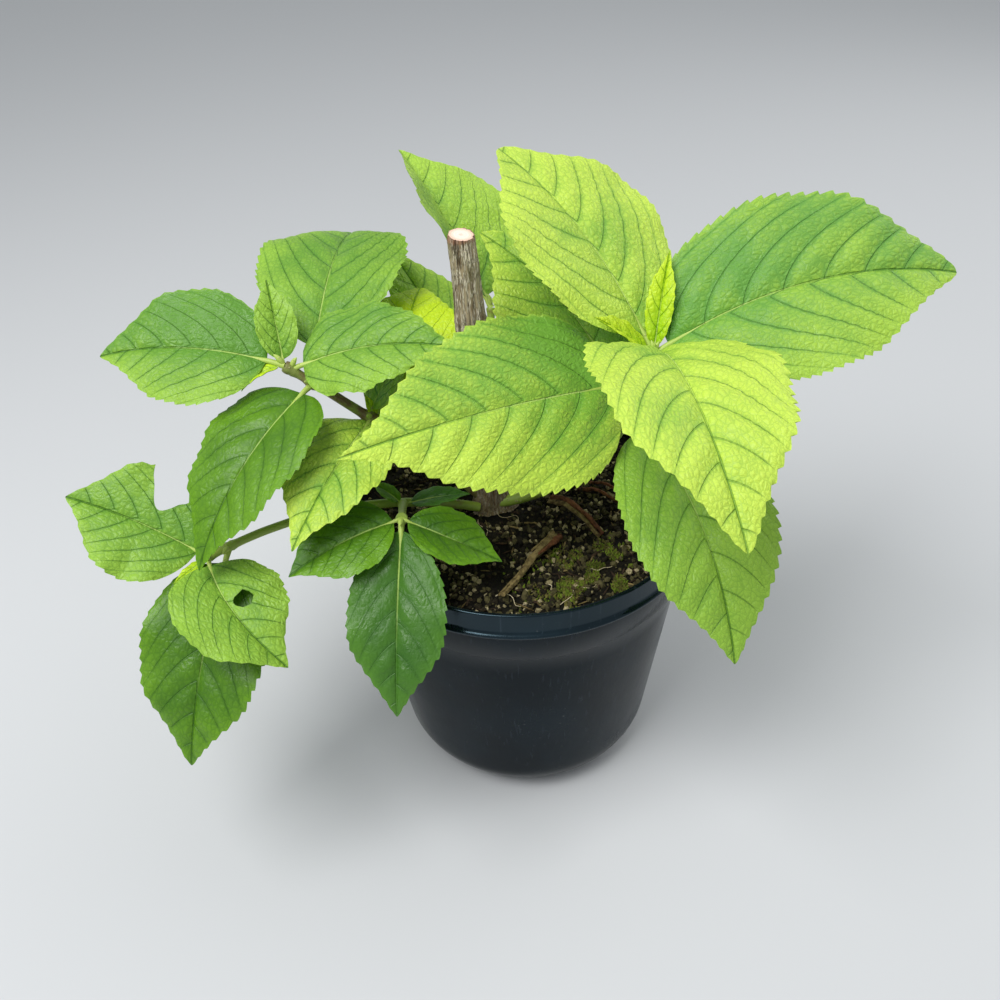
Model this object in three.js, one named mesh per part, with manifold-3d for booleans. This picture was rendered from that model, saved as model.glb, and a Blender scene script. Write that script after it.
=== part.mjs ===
// Potted hydrangea: a cut woody stem and its five young leafy shoots in a round nursery pot.
// Units are millimetres. +Z is up, +X is to the right and +Y points to the back of the plant.
// The origin is the centre of the pot's flat underside.
import * as THREE from 'three';
import { mergeVertices } from 'three/addons/utils/BufferGeometryUtils.js';
import Module from 'manifold-3d';

const wasm = await Module();
wasm.setup();

// Driving dimensions of the pot
const POT_HEIGHT = 150;
const RIM_RADIUS = 85;
const RIDGE_RADIUS = 86.5;
const RIDGE_HEIGHT = 138;
const RIDGE_WIDTH = 2.5;
const RIDGE_DROP = 3;
const RIM_EDGE = 0.8;
const SHOULDER_RADIUS = 83;
const STEP_RADIUS = 80;
const STEP_HEIGHT = 118;
const STEP_DEPTH = 1;
const STEP_RISE = 1.5;
const BASE_RADIUS = 67;
const BASE_CORNER = 24;
const CORNER_ROWS = 5;
const WALL = 1.8;
const DRAIN_HOLES = 6;
const DRAIN_RADIUS = 4;
const DRAIN_CIRCLE = 34;

// Driving dimensions of the soil
const SOIL_EDGE_HEIGHT = 141;
const SOIL_HEIGHT = 145;
const SOIL_FLAT_RADIUS = 34;
const SOIL_SWELL = 0.6;

// Driving dimensions of the woody stem, leaning to the left from its foot to its cut top. The
// profile gives its radius at shares of its height: root flare, old bud rings and rounded cut edge.
const TRUNK_FOOT = [-13, 0];
const TRUNK_TOP = [-20.7, 3, 282.5];
const TRUNK_PROFILE = [
  [0, 12], [0.03, 10], [0.08, 8.7], [0.2, 8.4], [0.4, 7.7], [0.52, 8], [0.6, 6.9], [0.8, 6.3],
  [0.99, 5.8], [1, 5.4],
];
const TRUNK_SIDES = 16;
const TRUNK_BOW = 0.6;
const TRUNK_CUT_TILT = 6;

// Driving dimensions shared by the shoots and the leaves
const GAP = 0.3;
const STALK_RADIUS = 1.6;
const STALK_RATIO = 0.03;
const MIDRIB_SHARE = 0.3;
const LEAF_THICKNESS_RATIO = 0.011;
const LEAF_THICKNESS_LEAST = 0.6;
const LEAF_ROW_LENGTH = 9;
const LEAF_CELLS_ACROSS = 4;
const LEAF_FOLD = 9;
const LEAF_CURL = 0.022;
const LEAF_WIDEST = 0.41;
const LEAF_FULLNESS = 1.35;
const TIP_FROM = 0.62;
const TIP_NARROWING = 0.5;
const TOOTH_DEPTH = 0.035;
const ARC_STEPS = 40;
const ROUND_SIDES = 48;

// Directions are in degrees: heading 0 is +X and 90 is +Y, rise is the angle above level. Along a
// shoot or leaf the rise falls by droop and the heading turns by sweep. from is where the bare
// shoot ends and its foliage starts, as a share of its length.
const SHOOTS = {
  right: { start: [-14, -5, 149], heading: -4, rise: 6, droop: -76, sweep: 24, length: 114, foot: 2.8,
    tip: 2.2, from: 0.64 },
  left: { start: [-18, -3, 151], heading: 182, rise: 48, droop: 10, sweep: -4, length: 114, foot: 2.5,
    tip: 2, from: 0.36 },
  low: { start: [-20, -8, 149], heading: 187, rise: 20, droop: 28, sweep: 26, length: 130, foot: 2.3,
    tip: 1.8, from: 0.86 },
  back: { start: [-18, 8, 148], heading: 74, rise: 66, droop: 6, sweep: 8, length: 88, foot: 2.3,
    tip: 1.8, from: 0.34 },
};
const FRONT_SHOOT = { forkAt: 0.29, heading: 275, rise: 28, droop: 0, sweep: 0, length: 42, foot: 2,
  tip: 1.6 };

// Leaves of each shoot, in opposite pairs from the youngest to the oldest. at is the place of the
// leaf's stalk along the shoot, and breadth is the blade's width as a share of its length.
const LEAVES = {
  right: [
    { at: 1, heading: 70, rise: 72, droop: 28, stalk: 4, length: 42, breadth: 0.31, fold: 22 },
    { at: 1, heading: 202, rise: 46, droop: 10, stalk: 4, length: 36, breadth: 0.42, roll: 20, fold: 22 },
    { at: 1, heading: 128, rise: 54, droop: 30, sweep: 14, stalk: 10, length: 108, breadth: 0.76, roll: 2,
      widest: 0.5, fullness: 1.2 },
    { at: 1, heading: -91, rise: 40, droop: 84, sweep: 14, stalk: 6, length: 138, breadth: 0.56, roll: 4,
      fold: 12, fullness: 1.15 },
    { at: 1, heading: 6, rise: 36, droop: 50, stalk: 8, length: 134, breadth: 0.64, roll: -37,
      widest: 0.42, fullness: 1.15 },
    { at: 0.88, heading: 208, rise: 13, droop: 12, sweep: 4, stalk: 18, length: 134, breadth: 0.6, roll: 42,
      fold: 2, widest: 0.3, fullness: 1.45 },
    { at: 0.72, heading: -64, rise: 0, droop: 64, sweep: -14, stalk: 12, length: 116, breadth: 0.57,
      roll: -6 },
    { at: 0.72, heading: 118, rise: 50, droop: 24, sweep: 40, stalk: 14, length: 98, breadth: 0.8,
      roll: 20, widest: 0.4, fullness: 1.3 },
  ],
  left: [
    { at: 1, heading: 105, rise: 66, droop: 20, stalk: 3, length: 35, breadth: 0.54, fold: 20 },
    { at: 1, heading: 200, rise: 10, droop: 60, stalk: 3, length: 20, breadth: 0.5, fold: 20 },
    { at: 1, heading: 172, rise: 20, droop: 34, sweep: 4, stalk: 8, length: 76, breadth: 0.74, roll: 34 },
    { at: 0.97, heading: -2, rise: 26, droop: 30, sweep: -14, stalk: 6, length: 70, breadth: 0.66,
      roll: -26, fold: 12, curl: 0.07, widest: 0.35, fullness: 1.2 },
    { at: 0.88, heading: 80, rise: 50, droop: 74, sweep: 6, stalk: 16, length: 100, breadth: 0.7,
      widest: 0.5 },
    { at: 0.87, heading: -122, rise: -2, droop: 60, sweep: -12, stalk: 8, length: 92, breadth: 0.58,
      widest: 0.37, fullness: 1.2 },
    { at: 0.6, heading: -106, rise: 12, droop: 48, sweep: -14, stalk: 3, length: 78, breadth: 0.6,
      roll: 4, fold: 12, curl: 0.045, widest: 0.34, fullness: 1.2 },
    { at: 0.62, heading: 40, rise: 55, droop: 20, stalk: 4, length: 34, breadth: 0.65 },
    { at: 0.58, heading: 140, rise: 80, droop: 20, stalk: 2, length: 12, breadth: 0.42 },
    { at: 0.58, heading: 40, rise: 70, droop: 20, stalk: 2, length: 14, breadth: 0.36 },
    { at: 0.44, heading: 82, rise: 80, droop: 92, stalk: 5, length: 84, breadth: 0.56, widest: 0.5 },
  ],
  low: [
    { at: 1, heading: 110, rise: 70, droop: 20, stalk: 1, length: 13, breadth: 0.46 },
    { at: 1, heading: 228, rise: 0, droop: 10, stalk: 1, length: 18, breadth: 0.33 },
    { at: 1, heading: 165, rise: 34, droop: 18, sweep: 6, stalk: 5, length: 61, breadth: 0.88, roll: 32,
      fold: 14 },
    { at: 1, heading: -74, rise: -4, droop: 36, sweep: 50, stalk: 5, length: 61, breadth: 0.8, roll: 0,
      fold: 12 },
    { at: 0.92, heading: -103, rise: -26, droop: 44, sweep: -12, stalk: 8, length: 92, breadth: 0.61,
      roll: 8 },
  ],
  front: [
    { at: 1, heading: -158, rise: 2, droop: 28, sweep: 4, stalk: 4, length: 50, breadth: 0.74, roll: 18,
      fullness: 1.5 },
    { at: 1, heading: -16, rise: -16, droop: 12, sweep: 4, stalk: 3, length: 44, breadth: 0.64, roll: -12,
      fold: 12, fullness: 1.5 },
    { at: 0.96, heading: -94, rise: -24, droop: 42, sweep: -2, stalk: 6, length: 80, breadth: 0.53,
      widest: 0.46, fullness: 1.5 },
    { at: 0.14, heading: 150, rise: 40, droop: 30, stalk: 2, length: 16, breadth: 0.56 },
    { at: 0.14, heading: 6, rise: 14, droop: 20, stalk: 4, length: 28, breadth: 0.5 },
  ],
  back: [
    { at: 1, heading: 132, rise: 56, droop: 20, stalk: 6, length: 81, breadth: 0.9, roll: -20, fold: 28 },
    { at: 0.5, heading: 127, rise: 39, droop: 8, stalk: 20, length: 73, breadth: 0.52 },
  ],
};

// Materials
const plastic = () => new THREE.MeshStandardMaterial({ color: 0x10151f, roughness: 0.28, metalness: 0 });
const earth = () => new THREE.MeshStandardMaterial({ color: 0x2c241c, roughness: 0.95, metalness: 0 });
const bark = () => new THREE.MeshStandardMaterial({ color: 0x8c7a62, roughness: 0.85, metalness: 0 });
const greenStem = () => new THREE.MeshStandardMaterial({ color: 0x7d9a3a, roughness: 0.6, metalness: 0 });
const foliage = (color) => new THREE.MeshStandardMaterial({ color, roughness: 0.5, metalness: 0 });

const radians = THREE.MathUtils.degToRad;

// A curve whose direction starts at a heading and a rise and changes evenly along its length
class Arc extends THREE.Curve {
  constructor({ start, heading, rise, droop, sweep = 0, length }) {
    super();
    this.heading = heading;
    this.rise = rise;
    this.droop = droop;
    this.sweep = sweep;
    this.length = length;
    this.places = [new THREE.Vector3(...start)];
    for (let step = 0; step < ARC_STEPS; step += 1) {
      const move = this.direction((step + 0.5) / ARC_STEPS).multiplyScalar(length / ARC_STEPS);
      this.places.push(this.places[step].clone().add(move));
    }
  }

  direction(share) {
    const heading = radians(this.heading + this.sweep * share);
    const rise = radians(this.rise - this.droop * share);
    const level = Math.cos(rise);
    return new THREE.Vector3(level * Math.cos(heading), level * Math.sin(heading), Math.sin(rise));
  }

  getPoint(share) {
    const place = THREE.MathUtils.clamp(share, 0, 1) * ARC_STEPS;
    const step = Math.min(Math.floor(place), ARC_STEPS - 1);
    return this.places[step].clone().lerp(this.places[step + 1], place - step);
  }

  // side is to the right of the direction, and up is square to both
  frame(share, roll = 0) {
    const heading = radians(this.heading + this.sweep * share);
    const forward = this.direction(share);
    const side = new THREE.Vector3(Math.sin(heading), -Math.cos(heading), 0);
    const up = side.clone().cross(forward);
    side.applyAxisAngle(forward, radians(-roll));
    up.applyAxisAngle(forward, radians(-roll));
    return { forward, side, up };
  }
}

// Solids and booleans
function toSolid(geometry) {
  const bare = geometry.clone();
  bare.deleteAttribute('normal');
  bare.deleteAttribute('uv');
  const merged = mergeVertices(bare, 1e-4);
  const corners = [];
  for (let first = 0; first < merged.index.count; first += 3) {
    const face = [0, 1, 2].map((corner) => merged.index.getX(first + corner));
    if (new Set(face).size === 3) corners.push(...face);
  }
  const vertProperties = new Float32Array(merged.attributes.position.array);
  const triVerts = new Uint32Array(corners);
  return new wasm.Manifold(new wasm.Mesh({ numProp: 3, vertProperties, triVerts }));
}

function toGeometry(solid) {
  const { vertProperties, triVerts } = solid.getMesh();
  const geometry = new THREE.BufferGeometry();
  geometry.setAttribute('position', new THREE.BufferAttribute(vertProperties, 3));
  geometry.setIndex(new THREE.BufferAttribute(triVerts, 1));
  return geometry;
}

function joined(solids) {
  return solids.reduce((whole, solid) => whole.add(solid));
}

function movePoints(geometry, place) {
  const position = geometry.attributes.position;
  const point = new THREE.Vector3();
  for (let index = 0; index < position.count; index += 1) {
    point.fromBufferAttribute(position, index);
    const moved = place(point);
    position.setXYZ(index, moved.x, moved.y, moved.z);
  }
  return geometry;
}

function revolved(profile, sides) {
  const points = profile.map(([radius, height]) => new THREE.Vector2(radius, height));
  const geometry = new THREE.LatheGeometry(points, sides);
  return geometry.rotateX(Math.PI / 2);
}

// A round limb that tapers along part of an arc, closed at both ends
function limb(arc, { foot, tip, from = 0, to = 1, sides = 8, steps = 8, grown = 0 }) {
  const profile = [new THREE.Vector2(0, 0)];
  for (let step = 0; step <= steps; step += 1) {
    const share = step / steps;
    profile.push(new THREE.Vector2(THREE.MathUtils.lerp(foot, tip, share) + grown, share));
  }
  profile.push(new THREE.Vector2(0, 1));
  const tube = new THREE.LatheGeometry(profile, sides);
  return movePoints(tube, ({ x, y, z }) => {
    const share = from + (to - from) * y;
    const { side, up } = arc.frame(share);
    return arc.getPoint(share).addScaledVector(side, x).addScaledVector(up, z);
  });
}

// The blade's half width as a share of its widest, from its stalk to its drawn-out tip
function bladeOutline(share, widest, fullness) {
  const base = widest * fullness;
  const end = (1 - widest) * fullness;
  const peak = widest ** base * (1 - widest) ** end;
  const near = Math.max(0, (share - TIP_FROM) / (1 - TIP_FROM));
  const narrowing = 1 - TIP_NARROWING * near * near * (3 - 2 * near);
  return (narrowing * share ** base * (1 - share) ** end) / peak;
}

// A leaf: a stalk that runs on as the midrib, and a thin blade, folded along the midrib, whose
// margins curl down and are notched into teeth
function leaf(start, size) {
  const { stalk, length, breadth, roll = 0, fold = LEAF_FOLD, curl = LEAF_CURL } = size;
  const { widest = LEAF_WIDEST, fullness = LEAF_FULLNESS } = size;
  const reach = stalk + length;
  const arc = new Arc({ ...size, start, length: reach });
  const thickness = Math.max(LEAF_THICKNESS_LEAST, length * LEAF_THICKNESS_RATIO);
  const halfWidth = (length * breadth) / 2;
  const narrowest = thickness * 0.7;
  const rows = 2 * Math.max(3, Math.round(length / LEAF_ROW_LENGTH / 2));
  const blade = new THREE.BoxGeometry(2, 1, 1, LEAF_CELLS_ACROSS, rows, 1);
  movePoints(blade, ({ x, y, z }) => {
    const share = y + 0.5;
    const row = Math.round(share * rows);
    const tooth = row % 2 === 1 ? 1 + TOOTH_DEPTH : 1 - TOOTH_DEPTH;
    const edge = Math.abs(x) > 0.99 ? tooth : 1;
    const half = Math.max(halfWidth * bladeOutline(share, widest, fullness), narrowest);
    const across = x * half * edge * Math.cos(radians(fold));
    const droopOfMargin = curl * length * x * x * (half / halfWidth);
    const lift = Math.abs(x) * half * Math.sin(radians(fold)) - droopOfMargin;
    const along = (stalk + length * share) / reach;
    const { side, up } = arc.frame(along, roll);
    return arc.getPoint(along).addScaledVector(side, across).addScaledVector(up, lift + z * thickness);
  });
  const midrib = limb(arc, {
    foot: Math.min(STALK_RADIUS, length * STALK_RATIO),
    tip: thickness * 0.4,
    to: (stalk + length * MIDRIB_SHARE) / reach,
    sides: 6,
    steps: 4,
  });
  return [toSolid(midrib), toSolid(blade)];
}

// The pot's wall from its rounded foot up past the stacking step to the shoulder under the ridge
function potOutline(inset) {
  const corner = BASE_CORNER - inset;
  const cornerTurn = Math.PI / 2 - Math.atan2(SHOULDER_RADIUS - BASE_RADIUS, RIDGE_HEIGHT);
  const outline = [];
  for (let row = 0; row <= CORNER_ROWS; row += 1) {
    const turn = (cornerTurn * row) / CORNER_ROWS;
    const radius = BASE_RADIUS - BASE_CORNER + corner * Math.sin(turn);
    outline.push([radius, BASE_CORNER - corner * Math.cos(turn)]);
  }
  outline.push([STEP_RADIUS - inset, STEP_HEIGHT]);
  outline.push([STEP_RADIUS + STEP_DEPTH - inset, STEP_HEIGHT + STEP_RISE]);
  outline.push([SHOULDER_RADIUS - inset, RIDGE_HEIGHT - RIDGE_DROP]);
  return outline;
}

// The inner radius of the collar between the shoulder and the rim
function collarInside(height) {
  const shoulder = RIDGE_HEIGHT - RIDGE_DROP;
  const share = (height - shoulder) / (POT_HEIGHT - shoulder);
  return THREE.MathUtils.lerp(SHOULDER_RADIUS, RIM_RADIUS, share) - WALL;
}

// The pot: a thin-walled round tub with a ridge, a collar above it and drain holes in its floor

function pot() {
  const outside = [
    [0, 0],
    ...potOutline(0),
    [RIDGE_RADIUS, RIDGE_HEIGHT - RIDGE_WIDTH / 2],
    [RIDGE_RADIUS, RIDGE_HEIGHT + RIDGE_WIDTH / 2],
    [RIM_RADIUS, RIDGE_HEIGHT + RIDGE_DROP],
    [RIM_RADIUS, POT_HEIGHT - RIM_EDGE],
    [RIM_RADIUS - RIM_EDGE, POT_HEIGHT],
  ];
  const inside = [
    [collarInside(POT_HEIGHT), POT_HEIGHT],
    ...potOutline(WALL).reverse(),
    [0, WALL],
  ];
  const shell = toSolid(revolved([...outside, ...inside], ROUND_SIDES));
  const drains = [];
  for (let index = 0; index < DRAIN_HOLES; index += 1) {
    const turn = (2 * Math.PI * (index + 0.5)) / DRAIN_HOLES;
    const drain = new THREE.CylinderGeometry(DRAIN_RADIUS, DRAIN_RADIUS, 4 * WALL, 12);
    drain.rotateX(Math.PI / 2);
    drain.translate(DRAIN_CIRCLE * Math.cos(turn), DRAIN_CIRCLE * Math.sin(turn), WALL);
    drains.push(toSolid(drain));
  }
  return shell.subtract(joined(drains));
}

// The soil: it fills the pot to a little below the rim and rises to a low flat mound
function soil() {
  const edge = collarInside(SOIL_EDGE_HEIGHT) - GAP;
  return toSolid(revolved([
    [0, WALL + GAP],
    ...potOutline(WALL + GAP),
    [edge, SOIL_EDGE_HEIGHT],
    [(edge + SOIL_FLAT_RADIUS) / 2, (SOIL_EDGE_HEIGHT + SOIL_HEIGHT) / 2 + SOIL_SWELL],
    [SOIL_FLAT_RADIUS, SOIL_HEIGHT],
    [0, SOIL_HEIGHT],
  ], ROUND_SIDES));
}

// The woody stem: it flares at its foot, bows a little and is cut off at a slight tilt at its top
function trunk(grown = 0) {
  const foot = new THREE.Vector3(...TRUNK_FOOT, SOIL_HEIGHT + GAP);
  const top = new THREE.Vector3(...TRUNK_TOP);
  const profile = TRUNK_PROFILE.map(([share, radius]) => [radius + grown, share]);
  const round = revolved([[0, 0], ...profile, [0, 1]], TRUNK_SIDES);
  const tilt = Math.tan(radians(TRUNK_CUT_TILT));
  return toSolid(movePoints(round, ({ x, y, z }) => {
    const centre = foot.clone().lerp(top, z);
    centre.x -= TRUNK_BOW * Math.sin(Math.PI * z);
    return centre.add(new THREE.Vector3(x, y, tilt * z * (y - x)));
  }));
}

// The shoots: bare green stems from the foot of the woody stem, each ending in its own foliage
const arcs = {};
for (const [name, shoot] of Object.entries(SHOOTS)) {
  arcs[name] = new Arc(shoot);
}
const fork = arcs.low.getPoint(FRONT_SHOOT.forkAt);
arcs.front = new Arc({ ...FRONT_SHOOT, start: fork.toArray() });

function radiusAt(shoot, share) {
  return THREE.MathUtils.lerp(shoot.foot, shoot.tip, share);
}

function bareShoot(name, grown = 0) {
  const { foot, from } = SHOOTS[name];
  const tip = radiusAt(SHOOTS[name], from);
  return toSolid(limb(arcs[name], { foot, tip, to: from, grown }));
}

function foliageMass(name) {
  const shoot = SHOOTS[name] ?? { ...FRONT_SHOOT, from: 0 };
  const arc = arcs[name];
  const start = shoot.from + (shoot.from > 0 ? GAP / shoot.length : 0);
  const stem = limb(arc, { foot: radiusAt(shoot, start), tip: shoot.tip, from: start, steps: 5 });
  const pieces = [toSolid(stem)];
  for (const size of LEAVES[name]) {
    pieces.push(...leaf(arc.getPoint(size.at).toArray(), size));
  }
  return joined(pieces);
}

function part(name, solid, material) {
  const mesh = new THREE.Mesh(toGeometry(solid), material);
  mesh.name = name;
  return mesh;
}

const plant = new THREE.Group();
plant.add(part('pot', pot(), plastic()));
plant.add(part('soil', soil(), earth()));
plant.add(part('trunk', trunk(), bark()));

const trunkRoom = trunk(GAP);
for (const name of Object.keys(SHOOTS)) {
  plant.add(part(`${name}_shoot`, bareShoot(name).subtract(trunkRoom), greenStem()));
}

const FOLIAGE_COLORS = { right: 0x9cc83c, left: 0x6fa53a, low: 0x4f8f35, front: 0x3f7a30, back: 0x86b53a };
for (const [name, color] of Object.entries(FOLIAGE_COLORS)) {
  const mass = foliageMass(name);
  const whole = name === 'front' ? mass.subtract(bareShoot('low', GAP)) : mass;
  plant.add(part(`${name}_foliage`, whole, foliage(color)));
}

export default plant;
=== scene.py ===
"""A potted hydrangea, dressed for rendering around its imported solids.

Sizes and places in the classes are millimetres, with +Z up, +X to the right and +Y to the back.
Blender objects are in metres in the same frame, and so are the heights that a finish reads. The
shoots and leaves grow by the same arcs and the same blade outline as the solids that they replace.
"""

import itertools
import logging
import math
from dataclasses import dataclass, field
from enum import Enum

import bpy
import numpy as np
from mathutils import Matrix, Vector


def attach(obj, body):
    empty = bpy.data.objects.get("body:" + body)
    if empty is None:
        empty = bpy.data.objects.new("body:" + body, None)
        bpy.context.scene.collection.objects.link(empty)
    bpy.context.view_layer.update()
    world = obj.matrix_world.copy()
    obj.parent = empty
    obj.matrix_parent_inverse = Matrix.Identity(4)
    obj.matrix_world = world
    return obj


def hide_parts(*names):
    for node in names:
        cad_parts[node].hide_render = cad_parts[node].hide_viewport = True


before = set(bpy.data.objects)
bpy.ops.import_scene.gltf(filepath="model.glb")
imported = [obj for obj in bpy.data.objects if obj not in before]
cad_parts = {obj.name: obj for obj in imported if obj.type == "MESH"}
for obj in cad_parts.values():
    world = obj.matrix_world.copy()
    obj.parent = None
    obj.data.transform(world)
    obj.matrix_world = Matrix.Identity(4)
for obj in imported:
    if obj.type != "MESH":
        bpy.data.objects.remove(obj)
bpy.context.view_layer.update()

LOG = logging.getLogger("hydrangea")
MM = 0.001
SEED = 7
ARC_STEPS = 40
BAKE_MAP = "OFBake"

# A blade narrows past a share of its length, to this much less at its tip.
TIP_FROM = 0.62
TIP_NARROWING = 0.5

SOIL_HEIGHT = 145.0
SOIL_EDGE_HEIGHT = 141.0
SOIL_FLAT_RADIUS = 34.0
SOIL_RADIUS = 81.7
STEM_FOOT = (-13.0, 0.0)

Colour = tuple[int, int, int]
Place = tuple[float, float, float]
Span = tuple[float, float]
Tint = tuple[float, float, float, float]
Array = np.ndarray


def shader_colour(colour: Colour) -> tuple[float, ...]:
    """Turns a screen colour into the linear colour that a shader takes.

    Args:
        colour: red, green and blue, 0 to 255.

    Returns:
        Linear red, green and blue, and an alpha of one.
    """
    shares = [part / 255 for part in colour]
    linear = [
        part / 12.92 if part <= 0.04045 else ((part + 0.055) / 1.055) ** 2.4 for part in shares
    ]
    return (*linear, 1.0)


def smooth_noise(places: Array, seed: int) -> Array:
    """Reads a smooth random field at some places.

    Args:
        places: an array of places, two or three numbers each, in cells of the field.
        seed: which field is read.

    Returns:
        One value for each place, from -1 to 1.
    """
    size = 64
    lattice = np.random.default_rng(seed).uniform(-1, 1, (size,) * places.shape[-1])
    low = np.floor(places).astype(int)
    part = places - low
    part = part * part * (3 - 2 * part)
    total = np.zeros(places.shape[:-1])
    for corner in np.ndindex(*(2,) * places.shape[-1]):
        weight = np.ones(places.shape[:-1])
        for axis, step in enumerate(corner):
            weight = weight * (part[..., axis] if step else 1 - part[..., axis])
        index = tuple((low[..., axis] + step) % size for axis, step in enumerate(corner))
        total += weight * lattice[index]
    return total


def unit(vectors: Array) -> Array:
    """Returns the vectors scaled to a length of one."""
    return vectors / np.linalg.norm(vectors, axis=-1, keepdims=True)


def clipped(values: Array) -> Array:
    """Returns the values, kept between 0 and 1."""
    return np.clip(values, 0, 1)


def beside(*parts: Array) -> Array:
    """Returns arrays of one shape joined along a new last axis."""
    return np.stack(parts, -1)


def round_turn(turn: Array, radius: Array | float) -> Array:
    """Returns places round the origin, by their turns in radians and their radii."""
    return beside(radius * np.cos(turn), radius * np.sin(turn))


@dataclass
class Form:
    """One closed surface in millimetres.

    Faces are rows of corner numbers, in one array for each number of corners. Each named map has
    an array to match, with a place for each corner.
    """

    points: Array
    faces: list[Array]
    maps: dict[str, list[Array]] = field(default_factory=dict)
    finish: int = 0

    def face_outwards(self) -> None:
        """Turns every face round if the surface is inside out."""
        volume = 0.0
        for rows in self.faces:
            spots = self.points[rows]
            for turn in range(1, rows.shape[1] - 1):
                crossed = np.cross(spots[:, turn], spots[:, turn + 1])
                volume += float((spots[:, 0] * crossed).sum())
        if volume < 0:
            self.faces = [rows[:, ::-1] for rows in self.faces]
            for name, found in self.maps.items():
                self.maps[name] = [rows[:, ::-1] for rows in found]


def dress(piece: bpy.types.Object, angle: float, *materials: bpy.types.Material) -> None:
    """Shades a piece smooth and gives it its materials.

    Args:
        piece: the piece.
        angle: the angle in degrees past which its edges stay sharp.
        materials: its materials, in the order of their numbers.
    """
    only(piece)
    bpy.ops.object.shade_smooth_by_angle(angle=math.radians(angle))
    piece.data.materials.clear()
    for material in materials:
        piece.data.materials.append(material)


def make_object(
    name: str, forms: list[Form], finishes: list[bpy.types.Material], angle: float = 50.0
) -> bpy.types.Object:
    """Joins closed forms into one smooth-shaded mesh object.

    Args:
        name: the piece's name.
        forms: the closed forms, each with the number of its finish.
        finishes: the materials that the forms' numbers stand for.
        angle: the angle in degrees past which edges stay sharp.

    Returns:
        The new object, at the origin, with its place in its mesh.
    """
    points: list[Array] = []
    rows: list[list[int]] = []
    numbers: list[int] = []
    maps: dict[str, list[Array]] = {key: [] for form in forms for key in form.maps}
    count = 0
    for form in forms:
        form.face_outwards()
        points.append(form.points)
        for place, faces in enumerate(form.faces):
            rows.extend((faces + count).tolist())
            numbers.extend([form.finish] * len(faces))
            for key, found in maps.items():
                known = form.maps.get(key)
                found.append(known[place].reshape(-1, 2) if known else np.zeros((faces.size, 2)))
        count += len(form.points)
    mesh = bpy.data.meshes.new(name)
    mesh.from_pydata(np.vstack(points) * MM, [], rows)
    for key, found in maps.items():
        layer = mesh.uv_layers.new(name=key)
        layer.uv.foreach_set("vector", np.vstack(found).astype(np.float32).ravel())
    piece = bpy.data.objects.new(name, mesh)
    bpy.context.scene.collection.objects.link(piece)
    dress(piece, angle, *finishes)
    mesh.polygons.foreach_set("material_index", numbers)
    mesh.update()
    return piece


def only(piece: bpy.types.Object) -> None:
    """Makes a piece the one selected and active object.

    Args:
        piece: the piece.
    """
    bpy.ops.object.select_all(action="DESELECT")
    piece.select_set(True)
    bpy.context.view_layer.objects.active = piece


def declare(piece: bpy.types.Object, slot: str, *nodes: str) -> None:
    """Hangs a finished piece on the root, hides the parts that it takes the place of, and reports
    it.

    Args:
        piece: the piece, which rides on the root.
        slot: not used.
        nodes: the nodes that it takes the place of.
    """
    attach(piece, "root")
    if nodes:
        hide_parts(*nodes)
    LOG.info("%s: %d faces", piece.name, len(piece.data.polygons))


def tube(points: Array, radii: Array, side: Array, up: Array, sides: int, finish: int) -> Form:
    """Builds a closed tube round a path.

    Args:
        points: the centre of each ring.
        radii: the radius of each ring, or of each point of each ring.
        side: the sideways direction of each ring.
        up: the upward direction of each ring.
        sides: points in a ring.
        finish: the number of the tube's finish.

    Returns:
        The tube, capped at both ends, with a strip of the bake map.
    """
    rings = len(points)
    turn = 2 * np.pi * np.arange(sides) / sides
    reach = np.broadcast_to(np.reshape(radii, (rings, -1)), (rings, sides))[..., None]
    across, upward = np.cos(turn)[None, :, None], np.sin(turn)[None, :, None]
    spots = points[:, None] + reach * (across * side[:, None] + upward * up[:, None])
    ring, spoke = (grid.ravel() for grid in np.mgrid[0 : rings - 1, 0:sides])
    steps = ((0, 0), (0, 1), (1, 1), (1, 0))
    walls = beside(*((ring + further) * sides + (spoke + on) % sides for further, on in steps))
    places = [beside((spoke + on) / sides, (ring + further) / (rings - 1)) for further, on in steps]
    around = np.arange(sides)
    caps = np.stack([around[::-1], around + (rings - 1) * sides])
    cap_places = np.zeros((2, sides, 2))
    cap_places[:, :, 0] = around / sides
    cap_places[1, :, 1] = 1
    maps = {BAKE_MAP: [np.stack(places, 1), cap_places]}
    return Form(spots.reshape(-1, 3), [walls, caps], maps, finish)


def free_tube(points: Array, radii: Array, sides: int, finish: int) -> Form:
    """Builds a closed tube round a free path, such as a root's, with level sideways directions.

    Args:
        points: the centre of each ring.
        radii: the radius of each ring, or of each point of each ring.
        sides: points in a ring.
        finish: the number of the tube's finish.

    Returns:
        The tube.
    """
    forward = unit(np.gradient(points, axis=0))
    side = unit(np.cross(forward, (0.01, 0.02, 1.0)))
    return tube(points, radii, side, np.cross(side, forward), sides, finish)


class Reading:
    """A value in a material. A sum, difference or product of readings is a math node."""

    def __init__(self, graph: "Graph", socket: bpy.types.NodeSocket) -> None:
        """Keeps the value's graph and its output socket."""
        self.graph = graph
        self.socket = socket

    def __add__(self, other: object) -> "Reading":
        """Returns the sum."""
        return self.graph.math("ADD", self, other)

    def __sub__(self, other: object) -> "Reading":
        """Returns the difference."""
        return self.graph.math("SUBTRACT", self, other)

    def __mul__(self, other: object) -> "Reading":
        """Returns the product."""
        return self.graph.math("MULTIPLY", self, other)


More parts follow.
